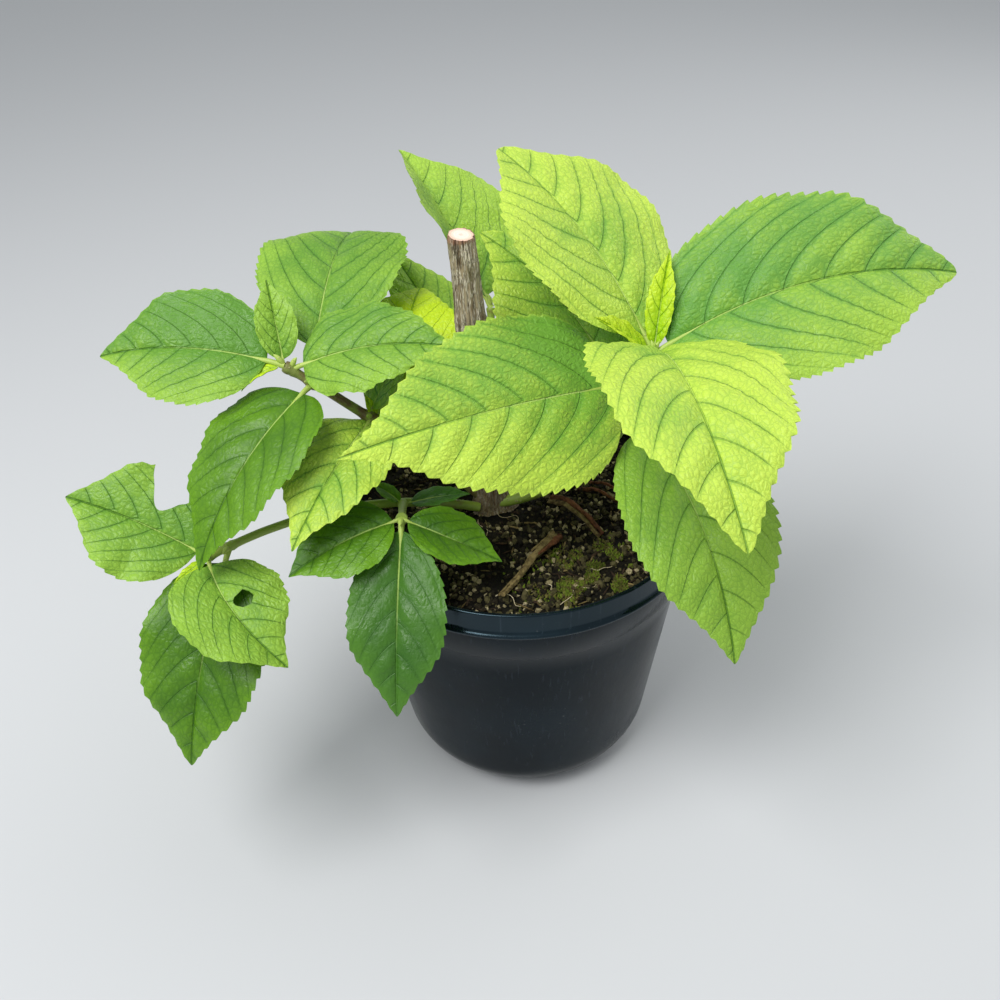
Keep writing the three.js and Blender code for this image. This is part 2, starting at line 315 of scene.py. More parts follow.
class Graph:
    """A material's shader nodes, with short calls for the kinds that the finishes use."""

    def __init__(self, name: str, colour: Colour, roughness: float, specular: float) -> None:
        """Starts a material of one colour.

        Args:
            name: the material's name.
            colour: the colour that all others are laid over.
            roughness: the shader's roughness.
            specular: the shader's specular level.
        """
        self.material = bpy.data.materials.new(name)
        self.material.use_nodes = True
        self.tree = self.material.node_tree
        self.shader = self.tree.nodes["Principled BSDF"]
        self.shader.inputs["Roughness"].default_value = roughness
        self.shader.inputs["Specular IOR Level"].default_value = specular
        self.colour: object = shader_colour(colour)
        self.relief: Reading | None = None

    def node(self, kind: str, *values: object, **named: object) -> bpy.types.Node:
        """Adds a node.

        Args:
            kind: the node's type, without the word ShaderNode.
            values: what its first inputs get, in their order.
            named: its inputs by name, and its settings, whose names start with a small letter.

        Returns:
            The node.
        """
        made = self.tree.nodes.new("ShaderNode" + kind)
        for name, value in named.items():
            if name[0].isupper():
                self.put(made.inputs[name], value)
            else:
                setattr(made, name, value)
        for socket, value in zip(made.inputs, values):
            self.put(socket, value)
        return made

    def put(self, socket: bpy.types.NodeSocket, value: object) -> None:
        """Gives a socket a reading or a value of its own.

        Args:
            socket: the input socket.
            value: the reading or the value.
        """
        if isinstance(value, Reading):
            self.tree.links.new(value.socket, socket)
        else:
            socket.default_value = value

    def read(self, made: bpy.types.Node, output: int | str = 0) -> Reading:
        """Returns the reading of one of a node's outputs."""
        return Reading(self, made.outputs[output])

    def math(self, operation: str, *values: object) -> Reading:
        """Returns the result of a math node on one or two values."""
        return self.read(self.node("Math", *values, operation=operation))

    def step(self, value: Reading, low: float, high: float, to: Span = (0, 1)) -> Reading:
        """Returns a smooth step, from one result to another as a value goes from low to high."""
        values = (value, low, high, *to)
        return self.read(self.node("MapRange", *values, interpolation_type="SMOOTHSTEP"))

    def place(self, scale: Place = (1, 1, 1), shift: Place = (0, 0, 0)) -> Reading:
        """Returns the object's own coordinates, stretched by a scale and then shifted."""
        own = self.read(self.node("TexCoord"), "Object")
        return self.read(self.node("Mapping", Vector=own, Location=shift, Scale=scale))

    def map(self, name: str) -> Reading:
        """Returns the place on one of the piece's own maps."""
        return self.read(self.node("UVMap", uv_map=name))

    def parts(self, where: Reading) -> list[Reading]:
        """Returns the three coordinates of a place."""
        made = self.node("SeparateXYZ", Vector=where)
        return [self.read(made, number) for number in range(3)]

    def noise(self, scale: float, detail: float, rough: float = 0.5, upward: float = 1) -> Reading:
        """Returns a noise value, about 0.5 on average. A small upward draws it out in height."""
        inputs = {"Vector": self.place((1, 1, upward)), "Scale": scale, "Detail": detail}
        return self.read(self.node("TexNoise", Roughness=rough, **inputs))

    def seams(self, where: Reading, scale: float) -> Reading:
        """Returns the distance to the edges of random cells."""
        made = self.node("TexVoronoi", feature="DISTANCE_TO_EDGE", Vector=where, Scale=scale)
        return self.read(made, "Distance")

    def specks(self, scale: float, inner: float, outer: float) -> Reading:
        """Returns one inside random specks, and zero outside of them."""
        made = self.node("TexVoronoi", feature="F1", Vector=self.place(), Scale=scale)
        return self.step(self.read(made, "Distance"), inner, outer, (1, 0))

    def cover(self, share: Reading, colour: Colour) -> None:
        """Lays a colour over what is there.

        Args:
            share: how much of it covers each place, from 0 to 1.
            colour: the colour.
        """
        made = self.node("Mix", share, data_type="RGBA")
        self.put(made.inputs[6], self.colour)
        self.put(made.inputs[7], shader_colour(colour))
        self.colour = self.read(made, 2)

    def cover_all(self, *layers: tuple[Reading, float, float, float, Colour]) -> None:
        """Lays colours over what is there, one after the other.

        Args:
            layers: for each colour the value that it follows, where on that it starts and where it
                is full, how much of it covers a place there, and the colour.
        """
        for value, start, full, most, colour in layers:
            self.cover(self.step(value, start, full, (0, most)), colour)

    def raise_by(self, *layers: tuple[Reading, float]) -> None:
        """Adds values, each times an amount, to the surface's fine relief.

        Args:
            layers: the values and their amounts.
        """
        for value, amount in layers:
            part = value * amount
            self.relief = self.relief + part if self.relief else part

    def finish(self, depth: float, rough: Reading | None = None) -> bpy.types.Material:
        """Ends the material.

        Args:
            depth: the height in metres of a relief of one.
            rough: the roughness, where it varies.

        Returns:
            The material.
        """
        self.put(self.shader.inputs["Base Color"], self.colour)
        if rough:
            self.put(self.shader.inputs["Roughness"], rough)
        if self.relief:
            bump = self.node("Bump", Height=self.relief, Distance=depth)
            self.put(self.shader.inputs["Normal"], self.read(bump))
        return self.material


class LeafTone(Enum):
    """The tones of leaf: light colour, green, veins, roughness and strength of the fine relief and
    of the painted shade and light that go with it.
    """

    FRESH = ((198, 224, 40), (150, 196, 16), (118, 166, 24), 0.42, 1.0)
    LIME = ((194, 222, 80), (116, 168, 58), (92, 142, 46), 0.46, 1.15)
    LIGHT = ((166, 204, 70), (102, 158, 64), (76, 128, 48), 0.44, 1.15)
    MID = ((146, 188, 62), (92, 144, 46), (68, 116, 36), 0.42, 1.0)
    DEEP = ((104, 152, 26), (54, 100, 12), (52, 96, 18), 0.4, 0.6)
    DARK = ((78, 126, 34), (40, 86, 22), (76, 122, 44), 0.38, 0.55)


@dataclass(frozen=True)
class LeafFinish:
    """A toothed leaf's surface: sunken side veins, a net of fine veins, soft mottling and painted
    shade along the veins.
    """

    tone: LeafTone
    pillows_per_cm: float = 4.2
    crumples_per_cm: float = 9.0
    pale_midrib: Colour = (186, 212, 116)
    dry_spot: Colour = (118, 92, 44)

    def make(self) -> bpy.types.Material:
        """Builds the material.

        Returns:
            The material, which reads three maps of the piece: vein number and cm across, greenness
            and share along, and cm along and share across.
        """
        light, green, vein, roughness, strength = self.tone.value
        graph = Graph("leaf_" + self.tone.name.lower(), light, roughness, 0.34)
        number, across, _ = graph.parts(graph.map("Veins"))
        greenness, along, _ = graph.parts(graph.map("Tone"))
        centimetres, outward, _ = graph.parts(graph.map("Sheet"))
        gap = graph.math("PINGPONG", number, 0.5)
        side_vein = graph.step(gap, 0.004, 0.034, (1, 0)) * graph.step(outward, 0.6, 1, (1, 0.25))
        midrib = graph.step(graph.math("ABSOLUTE", across), 0.015, 0.055, (1, 0))
        sheet = graph.read(graph.node("CombineXYZ", X=centimetres, Y=across))
        turned = {"Rotation": (0, 0, 0.6), "Scale": (0.8, 1.1, 1)}
        bent = graph.read(graph.node("Mapping", Vector=sheet, **turned))
        pillow = graph.seams(bent, self.pillows_per_cm)
        crumple = graph.seams(sheet, self.crumples_per_cm)
        blotch = graph.noise(38.0, 2)
        patch = graph.noise(120.0, 3)
        share = greenness + (blotch - 0.5) * 0.9 + (patch - 0.5) * 0.35
        # Painted shade and painted light: greener and darker near the side veins and along the
        # net's seams, paler on the swells between them.
        share = share + graph.step(gap, 0, 0.2, (0.16 * strength, -0.06))
        share = share + graph.step(pillow, 0, 0.3, (0.07 * strength, -0.04))
        graph.cover_all((share, 0, 1, 1, green), (outward, 0.955, 1, 0.4, light))
        # On the paler tones the darker lines of the net and of the side veins are partly the veins'
        # own colour and partly painted shade in their grooves.
        graph.cover(graph.step(crumple, 0, 0.13, (1, 0)) * 0.14, vein)
        graph.cover(graph.step(pillow, 0, 0.09, (1, 0)) * 0.26, vein)
        graph.cover(side_vein * 0.48, vein)
        graph.cover(midrib * graph.step(along, 0.3, 0.8, (0, 0.7)), vein)
        graph.cover(midrib * graph.step(along, 0.1, 0.7, (0.8, 0)), self.pale_midrib)
        seldom = graph.step(graph.noise(21.0, 1), 0.6, 0.66)
        graph.cover(graph.specks(50.0, 0.02, 0.05) * seldom, self.dry_spot)
        graph.raise_by((side_vein, -0.35), (graph.step(pillow, 0, 0.4), 0.28))
        graph.raise_by((graph.step(crumple, 0, 0.4), 0.08), (midrib, -0.3))
        rough = graph.step(patch, 0.3, 0.7, (roughness - 0.05, roughness + 0.1))
        return graph.finish(0.0009 * strength, rough)


@dataclass(frozen=True)
class StemFinish:
    """A green shoot's skin, browned in long streaks and dotted with pale pores."""

    name: str
    green: Colour
    brown: Colour
    browned: float
    pore_colour: Colour = (196, 188, 140)

    def make(self) -> bpy.types.Material:
        """Builds the material.

        Returns:
            The material.
        """
        graph = Graph(self.name, self.green, 0.5, 0.5)
        streak = graph.noise(220.0, 4)
        start = 0.62 - 0.25 * self.browned
        pore = graph.specks(420.0, 0.1, 0.22)
        brownness = streak * 0.5 + graph.noise(60.0, 3) * 0.5
        graph.cover(graph.step(brownness, start, start + 0.16), self.brown)
        graph.cover(pore * 0.5, self.pore_colour)
        graph.raise_by((streak, 0.6), (pore, 0.4))
        return graph.finish(0.0006)


@dataclass(frozen=True)
class BarkFinish:
    """Old grey-brown bark with fine pale ridges, dark cracks and a ragged edge at the cut."""

    wood: Colour = (128, 110, 82)
    worn: Colour = (168, 154, 122)
    ridge: Colour = (222, 212, 186)
    crack: Colour = (74, 60, 40)
    grime: Colour = (124, 118, 76)
    damp: Colour = (92, 66, 44)
    torn: Colour = (150, 104, 80)

    def make(self) -> bpy.types.Material:
        """Builds the material.

        Returns:
            The material.
        """
        graph = Graph("bark", self.wood, 0.85, 0.25)
        fibre = graph.noise(620.0, 4, 0.6, 0.1)
        crack = graph.noise(330.0, 3, 0.6, 0.16)
        grime = graph.noise(90.0, 3)
        *_, height = graph.parts(graph.place())
        ridge = graph.step(graph.math("ABSOLUTE", fibre - 0.5), 0.016, 0.06, (1, 0))
        graph.cover_all((crack, 0.36, 0.6, 1, self.worn))
        graph.cover(ridge * 0.85, self.ridge)
        graph.cover_all((crack, 0.44, 0.36, 0.8, self.crack), (grime, 0.5, 0.68, 0.45, self.grime))
        graph.cover_all((height, 0.236, 0.212, 0.5, self.damp))
        graph.cover_all((height + grime * 0.004, 0.2815, 0.2832, 0.6, self.torn))
        graph.raise_by((ridge, 0.5), (crack, 1.2))
        return graph.finish(0.0012)


@dataclass(frozen=True)
class CutWoodFinish:
    """The pale sawn end of the woody stem, with a darker pith and a brown edge."""

    centre: Span
    radius: float
    wood: Colour = (238, 220, 202)
    ring: Colour = (242, 228, 212)
    pith: Colour = (222, 192, 176)
    outer_wood: Colour = (226, 176, 148)
    edge: Colour = (134, 98, 74)

    def make(self) -> bpy.types.Material:
        """Builds the material.

        Returns:
            The material, with rings round the cut's centre.
        """
        graph = Graph("cut_wood", self.wood, 0.7, 0.3)
        shift = [-part * MM for part in self.centre]
        where = graph.place((1, 1, 0), (*shift, 0))
        away = graph.node("VectorMath", operation="LENGTH", Vector=where)
        share = graph.math("DIVIDE", graph.read(away, "Value"), self.radius * MM)
        rings = graph.math("PINGPONG", share * 5.0, 0.5)
        graph.cover_all((rings, 0.1, 0.4, 1, self.ring), (share, 0.2, 0.08, 0.7, self.pith))
        graph.cover_all((share, 0.5, 0.86, 0.6, self.outer_wood))
        graph.cover_all((share, 0.88, 0.99, 0.9, self.edge))
        graph.raise_by((graph.noise(900.0, 3), 1.0))
        return graph.finish(0.0004)


@dataclass(frozen=True)
class PlasticFinish:
    """Glossy blue-black pot plastic with fine scratches, water marks and dust."""

    plastic: Colour = (6, 12, 17)
    clouded: Colour = (14, 25, 32)
    scratch: Colour = (110, 124, 140)
    dust: Colour = (150, 150, 144)
    paler_foot: Colour = (110, 108, 100)
    gloss_tint: Tint = (0.52, 0.8, 0.95, 1.0)

    def make(self) -> bpy.types.Material:
        """Builds the material.

        Returns:
            The material.
        """
        graph = Graph("pot_plastic", self.plastic, 0.2, 0.12)
        cloud = graph.noise(24.0, 4)
        scratch = graph.noise(700.0, 2, 0.5, 0.06)
        *_, height = graph.parts(graph.place())
        graph.cover_all((cloud, 0.35, 0.7, 1, self.clouded))
        graph.cover(graph.step(scratch, 0.6, 0.74) * 0.06, self.scratch)
        graph.cover(graph.specks(260.0, 0.05, 0.16) * graph.step(cloud, 0.5, 0.72) * 0.3, self.dust)
        # Paler patches towards the foot of the pot.
        graph.cover(graph.step(height, 0.03, 0) * graph.step(cloud, 0.4, 0.65) * 0.3, self.paler_foot)
        graph.shader.inputs["Specular Tint"].default_value = self.gloss_tint
        collar_gloss = graph.step(height, 0.136, 0.1385, (0.12, 0.45))
        graph.put(graph.shader.inputs["Specular IOR Level"], collar_gloss)
        graph.raise_by((cloud, 0.5), (scratch, 0.06))
        return graph.finish(0.0006, graph.step(cloud, 0.3, 0.75, (0.12, 0.3)))


@dataclass(frozen=True)
class GritFinish:
    """A rough crumbling finish in two colours, for soil, grit, moss, wood scraps and roots."""

    name: str
    first: Colour
    second: Colour
    scale: float
    depth: float

    def make(self) -> bpy.types.Material:
        """Builds the material.

        Returns:
            The material.
        """
        graph = Graph(self.name, self.first, 0.92, 0.2)
        crumb = graph.noise(self.scale, 5, 0.65)
        clod = graph.noise(self.scale / 6, 2)
        graph.cover_all((crumb * 0.6 + clod * 0.4, 0.38, 0.62, 1, self.second))
        graph.raise_by((crumb, 1.0))
        return graph.finish(self.depth)


@dataclass(frozen=True)
class Arc:
    """A curve whose direction starts at a heading and a rise and changes evenly along it."""

    start: Place
    heading: float
    rise: float
    droop: float
    sweep: float
    length: float

    def direction(self, share: Array) -> Array:
        """Finds the curve's direction.

        Args:
            share: shares of the length.

        Returns:
            The unit direction at each share.
        """
        heading = np.radians(self.heading + self.sweep * share)
        rise = np.radians(self.rise - self.droop * share)
        level = np.cos(rise)
        return beside(level * np.cos(heading), level * np.sin(heading), np.sin(rise))

    def points(self, share: Array) -> Array:
        """Finds places on the curve.

        Args:
            share: shares of the length.

        Returns:
            The place at each share.
        """
        middles = (np.arange(ARC_STEPS) + 0.5) / ARC_STEPS
        moves = self.direction(middles) * (self.length / ARC_STEPS)
        places = np.vstack([[0, 0, 0], np.cumsum(moves, axis=0)]) + np.array(self.start)
        stops = np.arange(ARC_STEPS + 1) / ARC_STEPS
        return beside(*(np.interp(share, stops, places[:, axis]) for axis in range(3)))

    def sides(self, share: Array, roll: float = 0.0) -> tuple[Array, Array]:
        """Finds the directions square to the curve.

        Args:
            share: shares of the length.
            roll: how far they are turned round the curve, in degrees.

        Returns:
            The sideways and upward directions at each share.
        """
        heading = np.radians(self.heading + self.sweep * share)
        side = beside(np.sin(heading), -np.cos(heading), np.zeros_like(heading))
        up = np.cross(side, self.direction(share))
        turn = math.radians(roll)
        level, steep = math.cos(turn), math.sin(turn)
        return side * level + up * steep, up * level - side * steep


@dataclass(frozen=True)
class Bite:
    """A piece eaten out of a blade: its middle and reach, as shares along and across the blade."""

    along: float
    across: float
    reach_along: float
    reach_across: float
    scallops: int = 4
    scallop_depth: float = 0.09

    def snap(self, share: Array, across: Array) -> tuple[Array, Array, Array]:
        """Moves a blade's grid points inside the bite to its edge.

        Args:
            share: the share along of each grid point.
            across: the share across of each grid point.

        Returns:
            Both shares after the move, and which points were inside.
        """
        off_along = (share - self.along) / self.reach_along
        off_across = (across - self.across) / self.reach_across
        turn = np.arctan2(off_across, off_along)
        edge = 1 + self.scallop_depth * np.sin(self.scallops * turn + 1)
        away = np.hypot(off_along, off_across) / edge
        snapped = (away < 1) & (away > 0.01)
        safe = np.where(away > 0.01, away, 1)
        share = np.where(snapped, self.along + (share - self.along) / safe, share)
        across = np.where(snapped, self.across + (across - self.across) / safe, across)
        return share, across, away < 1


@dataclass(frozen=True)
class Leaf:
    """One leaf on its stalk. Angles are degrees, and breadth is a share of the blade's length."""

    at: float
    heading: float
    rise: float
    droop: float
    stalk: float
    length: float
    breadth: float
    tone: LeafTone
    green: Place
    sweep: float = 0.0
    roll: float = 0.0
    fold: float = 9.0
    curl: float = 0.022
    widest: float = 0.41
    fullness: float = 1.35
    ruffle: float = 0.012
    bites: tuple[Bite, ...] = ()
    quilt: float = 0.014
    groove: float = 0.4
    tooth_length: float = 5.0
    tooth_depth: float = 0.0155
    tooth_peak: float = 0.78
    rows_to_tooth: int = 5
    thickness: float = 0.5
    rib_share: float = 0.0155
    rib_rings: int = 34
    bud_length: float = 7.0
    bud_radius: float = 1.25

    @property
    def half_width(self) -> float:
        """Returns half of the blade's greatest width."""
        return self.length * self.breadth / 2

    @property
    def seed(self) -> int:
        """Returns a number of the leaf's own for its random forms."""
        return int(self.length * 7 + abs(self.heading) * 3)

    def arc(self, start: Array) -> Arc:
        """Returns the arc of the stalk and midrib from a place on the shoot."""
        reach = self.stalk + self.length
        return Arc(tuple(start), self.heading, self.rise, self.droop, self.sweep, reach)

    def outline(self, share: Array) -> Array:
        """Finds how wide the blade is.

        Args:
            share: shares of the blade's length, from stalk to tip.

        Returns:
            Its half width at each share, as a share of its widest.
        """
        base = self.widest * self.fullness
        end = (1 - self.widest) * self.fullness
        peak = self.widest**base * (1 - self.widest) ** end
        near = clipped((share - TIP_FROM) / (1 - TIP_FROM))
        narrowing = 1 - TIP_NARROWING * near**2 * (3 - 2 * near)
        return narrowing * share**base * (1 - share) ** end / peak

    def vein_number(self, share: Array, across: Array) -> Array:
        """Finds which side vein a place is at. Longer leaves have more of them.

        Args:
            share: the share along of each place.
            across: the share across of each place.

        Returns:
            A number for each place, which is whole on a vein and halfway between two.
        """
        veins = max(3.5, 4.2 + self.length / 42)
        reach = np.abs(across) * self.half_width * self.outline(share)
        forward = (0.5 * reach + 1.15 * reach**2 / self.half_width) / self.length
        return veins * (share - forward) + 0.4 * (across > 0)

    def relief(self, share: Array, across: Array) -> Array:
        """Finds how far the blade stands up from its plain curved sheet.

        Args:
            share: the share along of each place.
            across: the share across of each place.

        Returns:
            The height of each place: quilting between veins, a groove at the midrib, ruffled
            edges and small lumps.
        """
        away = np.abs(across)
        wide = self.outline(share)
        between = 0.5 - 0.5 * np.cos(2 * np.pi * self.vein_number(share, across))
        quilt = self.quilt * self.length * between**0.7
        quilt = quilt * clipped(away / 0.16) * (1 - away**5) * clipped(wide * 1.4)
        groove = self.groove * np.exp(-((away * self.half_width * wide / 1.3) ** 2))
        swell = smooth_noise(beside(share * 4.5, across * 1.6) + 9.5, self.seed)
        edge = np.sin(2 * np.pi * (3.4 * share + 0.31 * np.sign(across)) + self.seed)
        wave = self.ruffle * self.length * wide * (away**3 * edge + 0.7 * away * swell)
        lumps = smooth_noise(beside(share * self.length / 3.4, across * self.half_width / 3.0), 3)
        return quilt - groove + wave + 0.07 * lumps * wide

    def grid(self) -> tuple[Array, Array, Array, Array]:
        """Lays out the blade's grid, with some rows to each tooth.

        Returns:
            The share along and across of each grid point, how far each stands out as part of a
            tooth, and which cells are kept where something has eaten the blade.
        """
        teeth = int(np.clip(self.length / self.tooth_length, 7, 25))
        cells = int(np.clip(self.length / 7, 6, 16))
        steps = np.linspace(0, 1, cells + 1)
        half = steps - 0.09 * np.sin(2 * np.pi * steps)
        columns = np.concatenate([-half[:0:-1], half])
        rows = np.linspace(0, 1, self.rows_to_tooth * teeth + 1)
        share, across = np.meshgrid(rows, columns, indexing="ij")
        part = (share * teeth + 0.5 * (across > 0)) % 1
        rise, fall = part / self.tooth_peak, (1 - part) / (1 - self.tooth_peak)
        saw = np.where(part < self.tooth_peak, rise, fall) - 0.45
        tooth = self.tooth_depth * self.length * saw * clipped((np.abs(across) - 0.93) / 0.07)
        tooth = tooth * np.sin(np.pi * clipped(share)) ** 0.5
        inside = np.zeros_like(share, dtype=bool)
        for bite in self.bites:
            share, across, bitten = bite.snap(share, across)
            inside |= bitten
        gone = inside[:-1, :-1] & inside[1:, :-1] & inside[:-1, 1:] & inside[1:, 1:]
        return clipped(share), across, tooth, ~gone

    def half_at(self, share: Array) -> Array:
        """Returns the blade's half width at shares of its length, which is never quite zero."""
        return np.maximum(self.half_width * self.outline(share), np.where(share < 0.5, 0.9, 0.2))

    def sheets(self, start: Array, share: Array, across: Array, tooth: Array) -> list[Array]:
        """Shapes the blade's two sheets.

        Args:
            start: the place on the shoot where the stalk starts.
            share: the share along of each grid point.
            across: the share across of each point.
            tooth: how far each point stands out as part of a tooth.

        Returns:
            The place of each point of the upper sheet, and of the lower one.
        """
        half = self.half_at(share)
        fold = math.radians(self.fold)
        along = (self.stalk + self.length * share) / (self.stalk + self.length)
        arc = self.arc(start)
        side, up = arc.sides(along, self.roll)
        out = across * half * math.cos(fold) + np.sign(across) * tooth
        droop = self.curl * self.length * across**2 * (half / self.half_width)
        lift = np.abs(across) * half * math.sin(fold) - droop + self.relief(share, across)
        middle = arc.points(along) + arc.direction(along) * (0.5 * tooth)[..., None]
        top = middle + side * out[..., None] + up * lift[..., None]
        thickness = self.thickness * np.clip(self.outline(share) * 3, 0.4, 1)
        return [top, top - up * thickness[..., None]]

    def readings(self, share: Array, across: Array) -> dict[str, Array]:
        """Finds what the leaf's finish reads at each grid point.

        Args:
            share: the share along of each point.
            across: the share across of each point.

        Returns:
            The two numbers of each map, by the map's name.
        """
        half = self.half_at(share)
        shift = self.seed % 40
        base, tip, slant = self.green
        greenness = base + (tip - base) * share + slant * across - 0.4 * np.abs(across) ** 3
        return {
            "Veins": beside(self.vein_number(share, across) + 20.0 + shift, across * half / 10),
            "Tone": beside(greenness, share),
            "Sheet": beside(share * self.length / 10 + shift, np.abs(across)),
            BAKE_MAP: beside(0.5 + 0.48 * across * half / self.half_width, share),
        }

    def blade(self, start: Array, finish: int) -> Form:
        """Builds the blade as a thin closed shell.

        Args:
            start: the place on the shoot where the stalk starts.
            finish: the number of the leaf's finish.

        Returns:
            The shell, with its maps of veins and tone and its part of the bake map.
        """
        share, across, tooth, kept = self.grid()
        points = np.concatenate([
            sheet.reshape(-1, 3) for sheet in self.sheets(start, share, across, tooth)
        ])
        top_number = np.arange(share.size).reshape(share.shape)
        below_number = top_number + share.size
        below_number[[0, -1]] = top_number[[0, -1]]
        below_number[:, [0, -1]] = top_number[:, [0, -1]]
        row, column = np.nonzero(kept)
        corners = ((0, 0), (1, 0), (1, 1), (0, 1))
        upper = beside(*(top_number[row + down, column + on] for down, on in corners))
        lower = beside(*(below_number[row + down, column + on] for down, on in corners))
        maps: dict[str, list[Array]] = {}
        for name, values in self.readings(share, across).items():
            found = np.stack([values[row + down, column + on] for down, on in corners], 1)
            maps[name] = [np.vstack([found, found[:, ::-1]])]
        # The two sheets lie in the bake map one above the other, and the lower one is paler.
        bake = maps[BAKE_MAP][0]
        bake[:, :, 1] *= 0.45
        bake[: len(row), :, 1] += 0.01
        bake[len(row) :, :, 1] += 0.48
        maps["Tone"][0][len(row) :, :, 0] -= 0.3
        form = Form(points, [np.vstack([upper, lower[:, ::-1]])], maps, finish)
        if self.bites:
            self.wall_bites(form, kept, top_number, below_number)
        return form

    def wall_bites(self, form: Form, kept: Array, above: Array, below: Array) -> None:
        """Closes the shell along the edge of what was eaten.

        Args:
            form: the blade, which gets the walls.
            kept: which cells of the grid are there.
            above: the point numbers of the upper sheet.
            below: the point numbers of the lower sheet.
        """
        ring = ((0, 0), (1, 0), (1, 1), (0, 1))
        neighbours = ((0, -1), (1, 0), (0, 1), (-1, 0))
        walls: dict[int, list[list[int]]] = {3: [], 4: []}
        rows, columns = kept.shape
        for row, column in zip(*np.nonzero(kept)):
            for place, (down, on) in enumerate(neighbours):
                beyond = (row + down, column + on)
                if not (0 <= beyond[0] < rows and 0 <= beyond[1] < columns) or kept[beyond]:
                    continue
                ends = (ring[place], ring[(place + 1) % 4])
                one, two = ((row + further, column + across) for further, across in ends)
                loop = [above[two], above[one], below[one], below[two]]
                wall = list(dict.fromkeys(int(number) for number in loop))
                if len(wall) >= 3:
                    walls[len(wall)].append(wall)
        for corners, found in walls.items():
            if found:
                form.faces.append(np.array(found))
                for rows_of_map in form.maps.values():
                    rows_of_map.append(np.full((len(found), corners, 2), 1.0))

    def ribs(self, start: Array, finish: int) -> Form:
        """Builds the stalk, which runs on below the blade as its midrib.

        Args:
            start: the place on the shoot where the stalk starts.
            finish: the number of the stalk's finish.

        Returns:
            The tapering stalk.
        """
        reach = self.stalk + self.length
        along = np.linspace(0, (self.stalk + 0.9 * self.length) / reach, self.rib_rings)
        share = (along * reach - self.stalk) / self.length
        thick = min(1.2, self.length * self.rib_share)
        radius = thick * np.where(share < 0, 1.0, (1 - 0.8 * clipped(share)) ** 0.8)
        radius[:4] *= np.linspace(1.3, 1.0, 4)
        arc = self.arc(start)
        side, up = arc.sides(along, self.roll)
        sunk = clipped(share / 0.14) ** 0.5 * (radius + 0.55)
        return tube(arc.points(along) - up * sunk[:, None], radius, side, up, 12, finish)

    def bud(self, start: Array, finish: int) -> Form:
        """Builds the small pointed bud in the corner between the stalk and the shoot.

        Args:
            start: the place on the shoot where the stalk starts.
            finish: the number of the bud's finish.

        Returns:
            The bud.
        """
        arc = Arc(tuple(start), self.heading, min(self.rise + 50, 88), 30, 0, self.bud_length)
        along = np.linspace(0.15, 1, 9)
        side, up = arc.sides(along)
        radius = self.bud_radius * np.sin(np.pi * np.clip(along, 0.2, 0.985)) ** 0.7
        return tube(arc.points(along), radius, side, up, 10, finish)


@dataclass(frozen=True)
class Shoot:
    """One green shoot: its arc, its radius at foot and tip, and the share of it that is bare."""

    start: Place
    heading: float
    rise: float
    droop: float
    sweep: float
    length: float
    foot: float
    tip: float
    bare: float
    browned: float = 0.3
    joint_swell: float = 0.7
    joint_scar: float = 0.35
    ring_gap: float = 0.9
    sides: int = 24

    def arc(self) -> Arc:
        """Returns the shoot's arc."""
        return Arc(self.start, self.heading, self.rise, self.droop, self.sweep, self.length)

    def stem(self, low: float, high: float, joints: list[float]) -> Form:
        """Builds a length of the stem with the swollen joints that carry its leaves.

        Args:
            low: where it starts, as a share of the shoot.
            high: where it ends.
            joints: the shares at which leaves stand.

        Returns:
            The length of stem.
        """
        rings = max(12, int((high - low) * self.length / self.ring_gap))
        along = np.linspace(low, high, rings)
        radius = self.foot + (self.tip - self.foot) * along
        for joint in joints:
            apart = (along - joint) * self.length
            radius = radius + self.joint_swell * np.exp(-((apart / 2.4) ** 2))
            radius = radius - self.joint_scar * np.exp(-((apart / 0.55) ** 2))
        turn = np.linspace(0, 6, self.sides, endpoint=False)
        places = beside(*np.meshgrid(along * self.length / 7, turn, indexing="ij"))
        skin = radius[:, None] * (1 + 0.035 * smooth_noise(places + 3.1, int(self.length)))
        arc = self.arc()
        return tube(arc.points(along), skin, *arc.sides(along), self.sides, 0)


SHOOTS = {
    "right": Shoot((-14, -5, 149), -4, 6, -76, 24, 114, 2.8, 2.2, 0.64, 0.35),
    "left": Shoot((-18, -3, 151), 182, 48, 10, -4, 114, 2.5, 2.0, 0.36, 0.75),
    "low": Shoot((-20, -8, 149), 187, 20, 28, 26, 130, 2.3, 1.8, 0.86, 0.4),
    "back": Shoot((-18, 8, 148), 74, 66, 6, 8, 88, 2.3, 1.8, 0.34, 0.35),
}
FRONT_FORK = 0.29
FRONT_SHOOT = {
    "heading": 275, "rise": 28, "droop": 0, "sweep": 0, "length": 42, "foot": 2.0, "tip": 1.6,
}

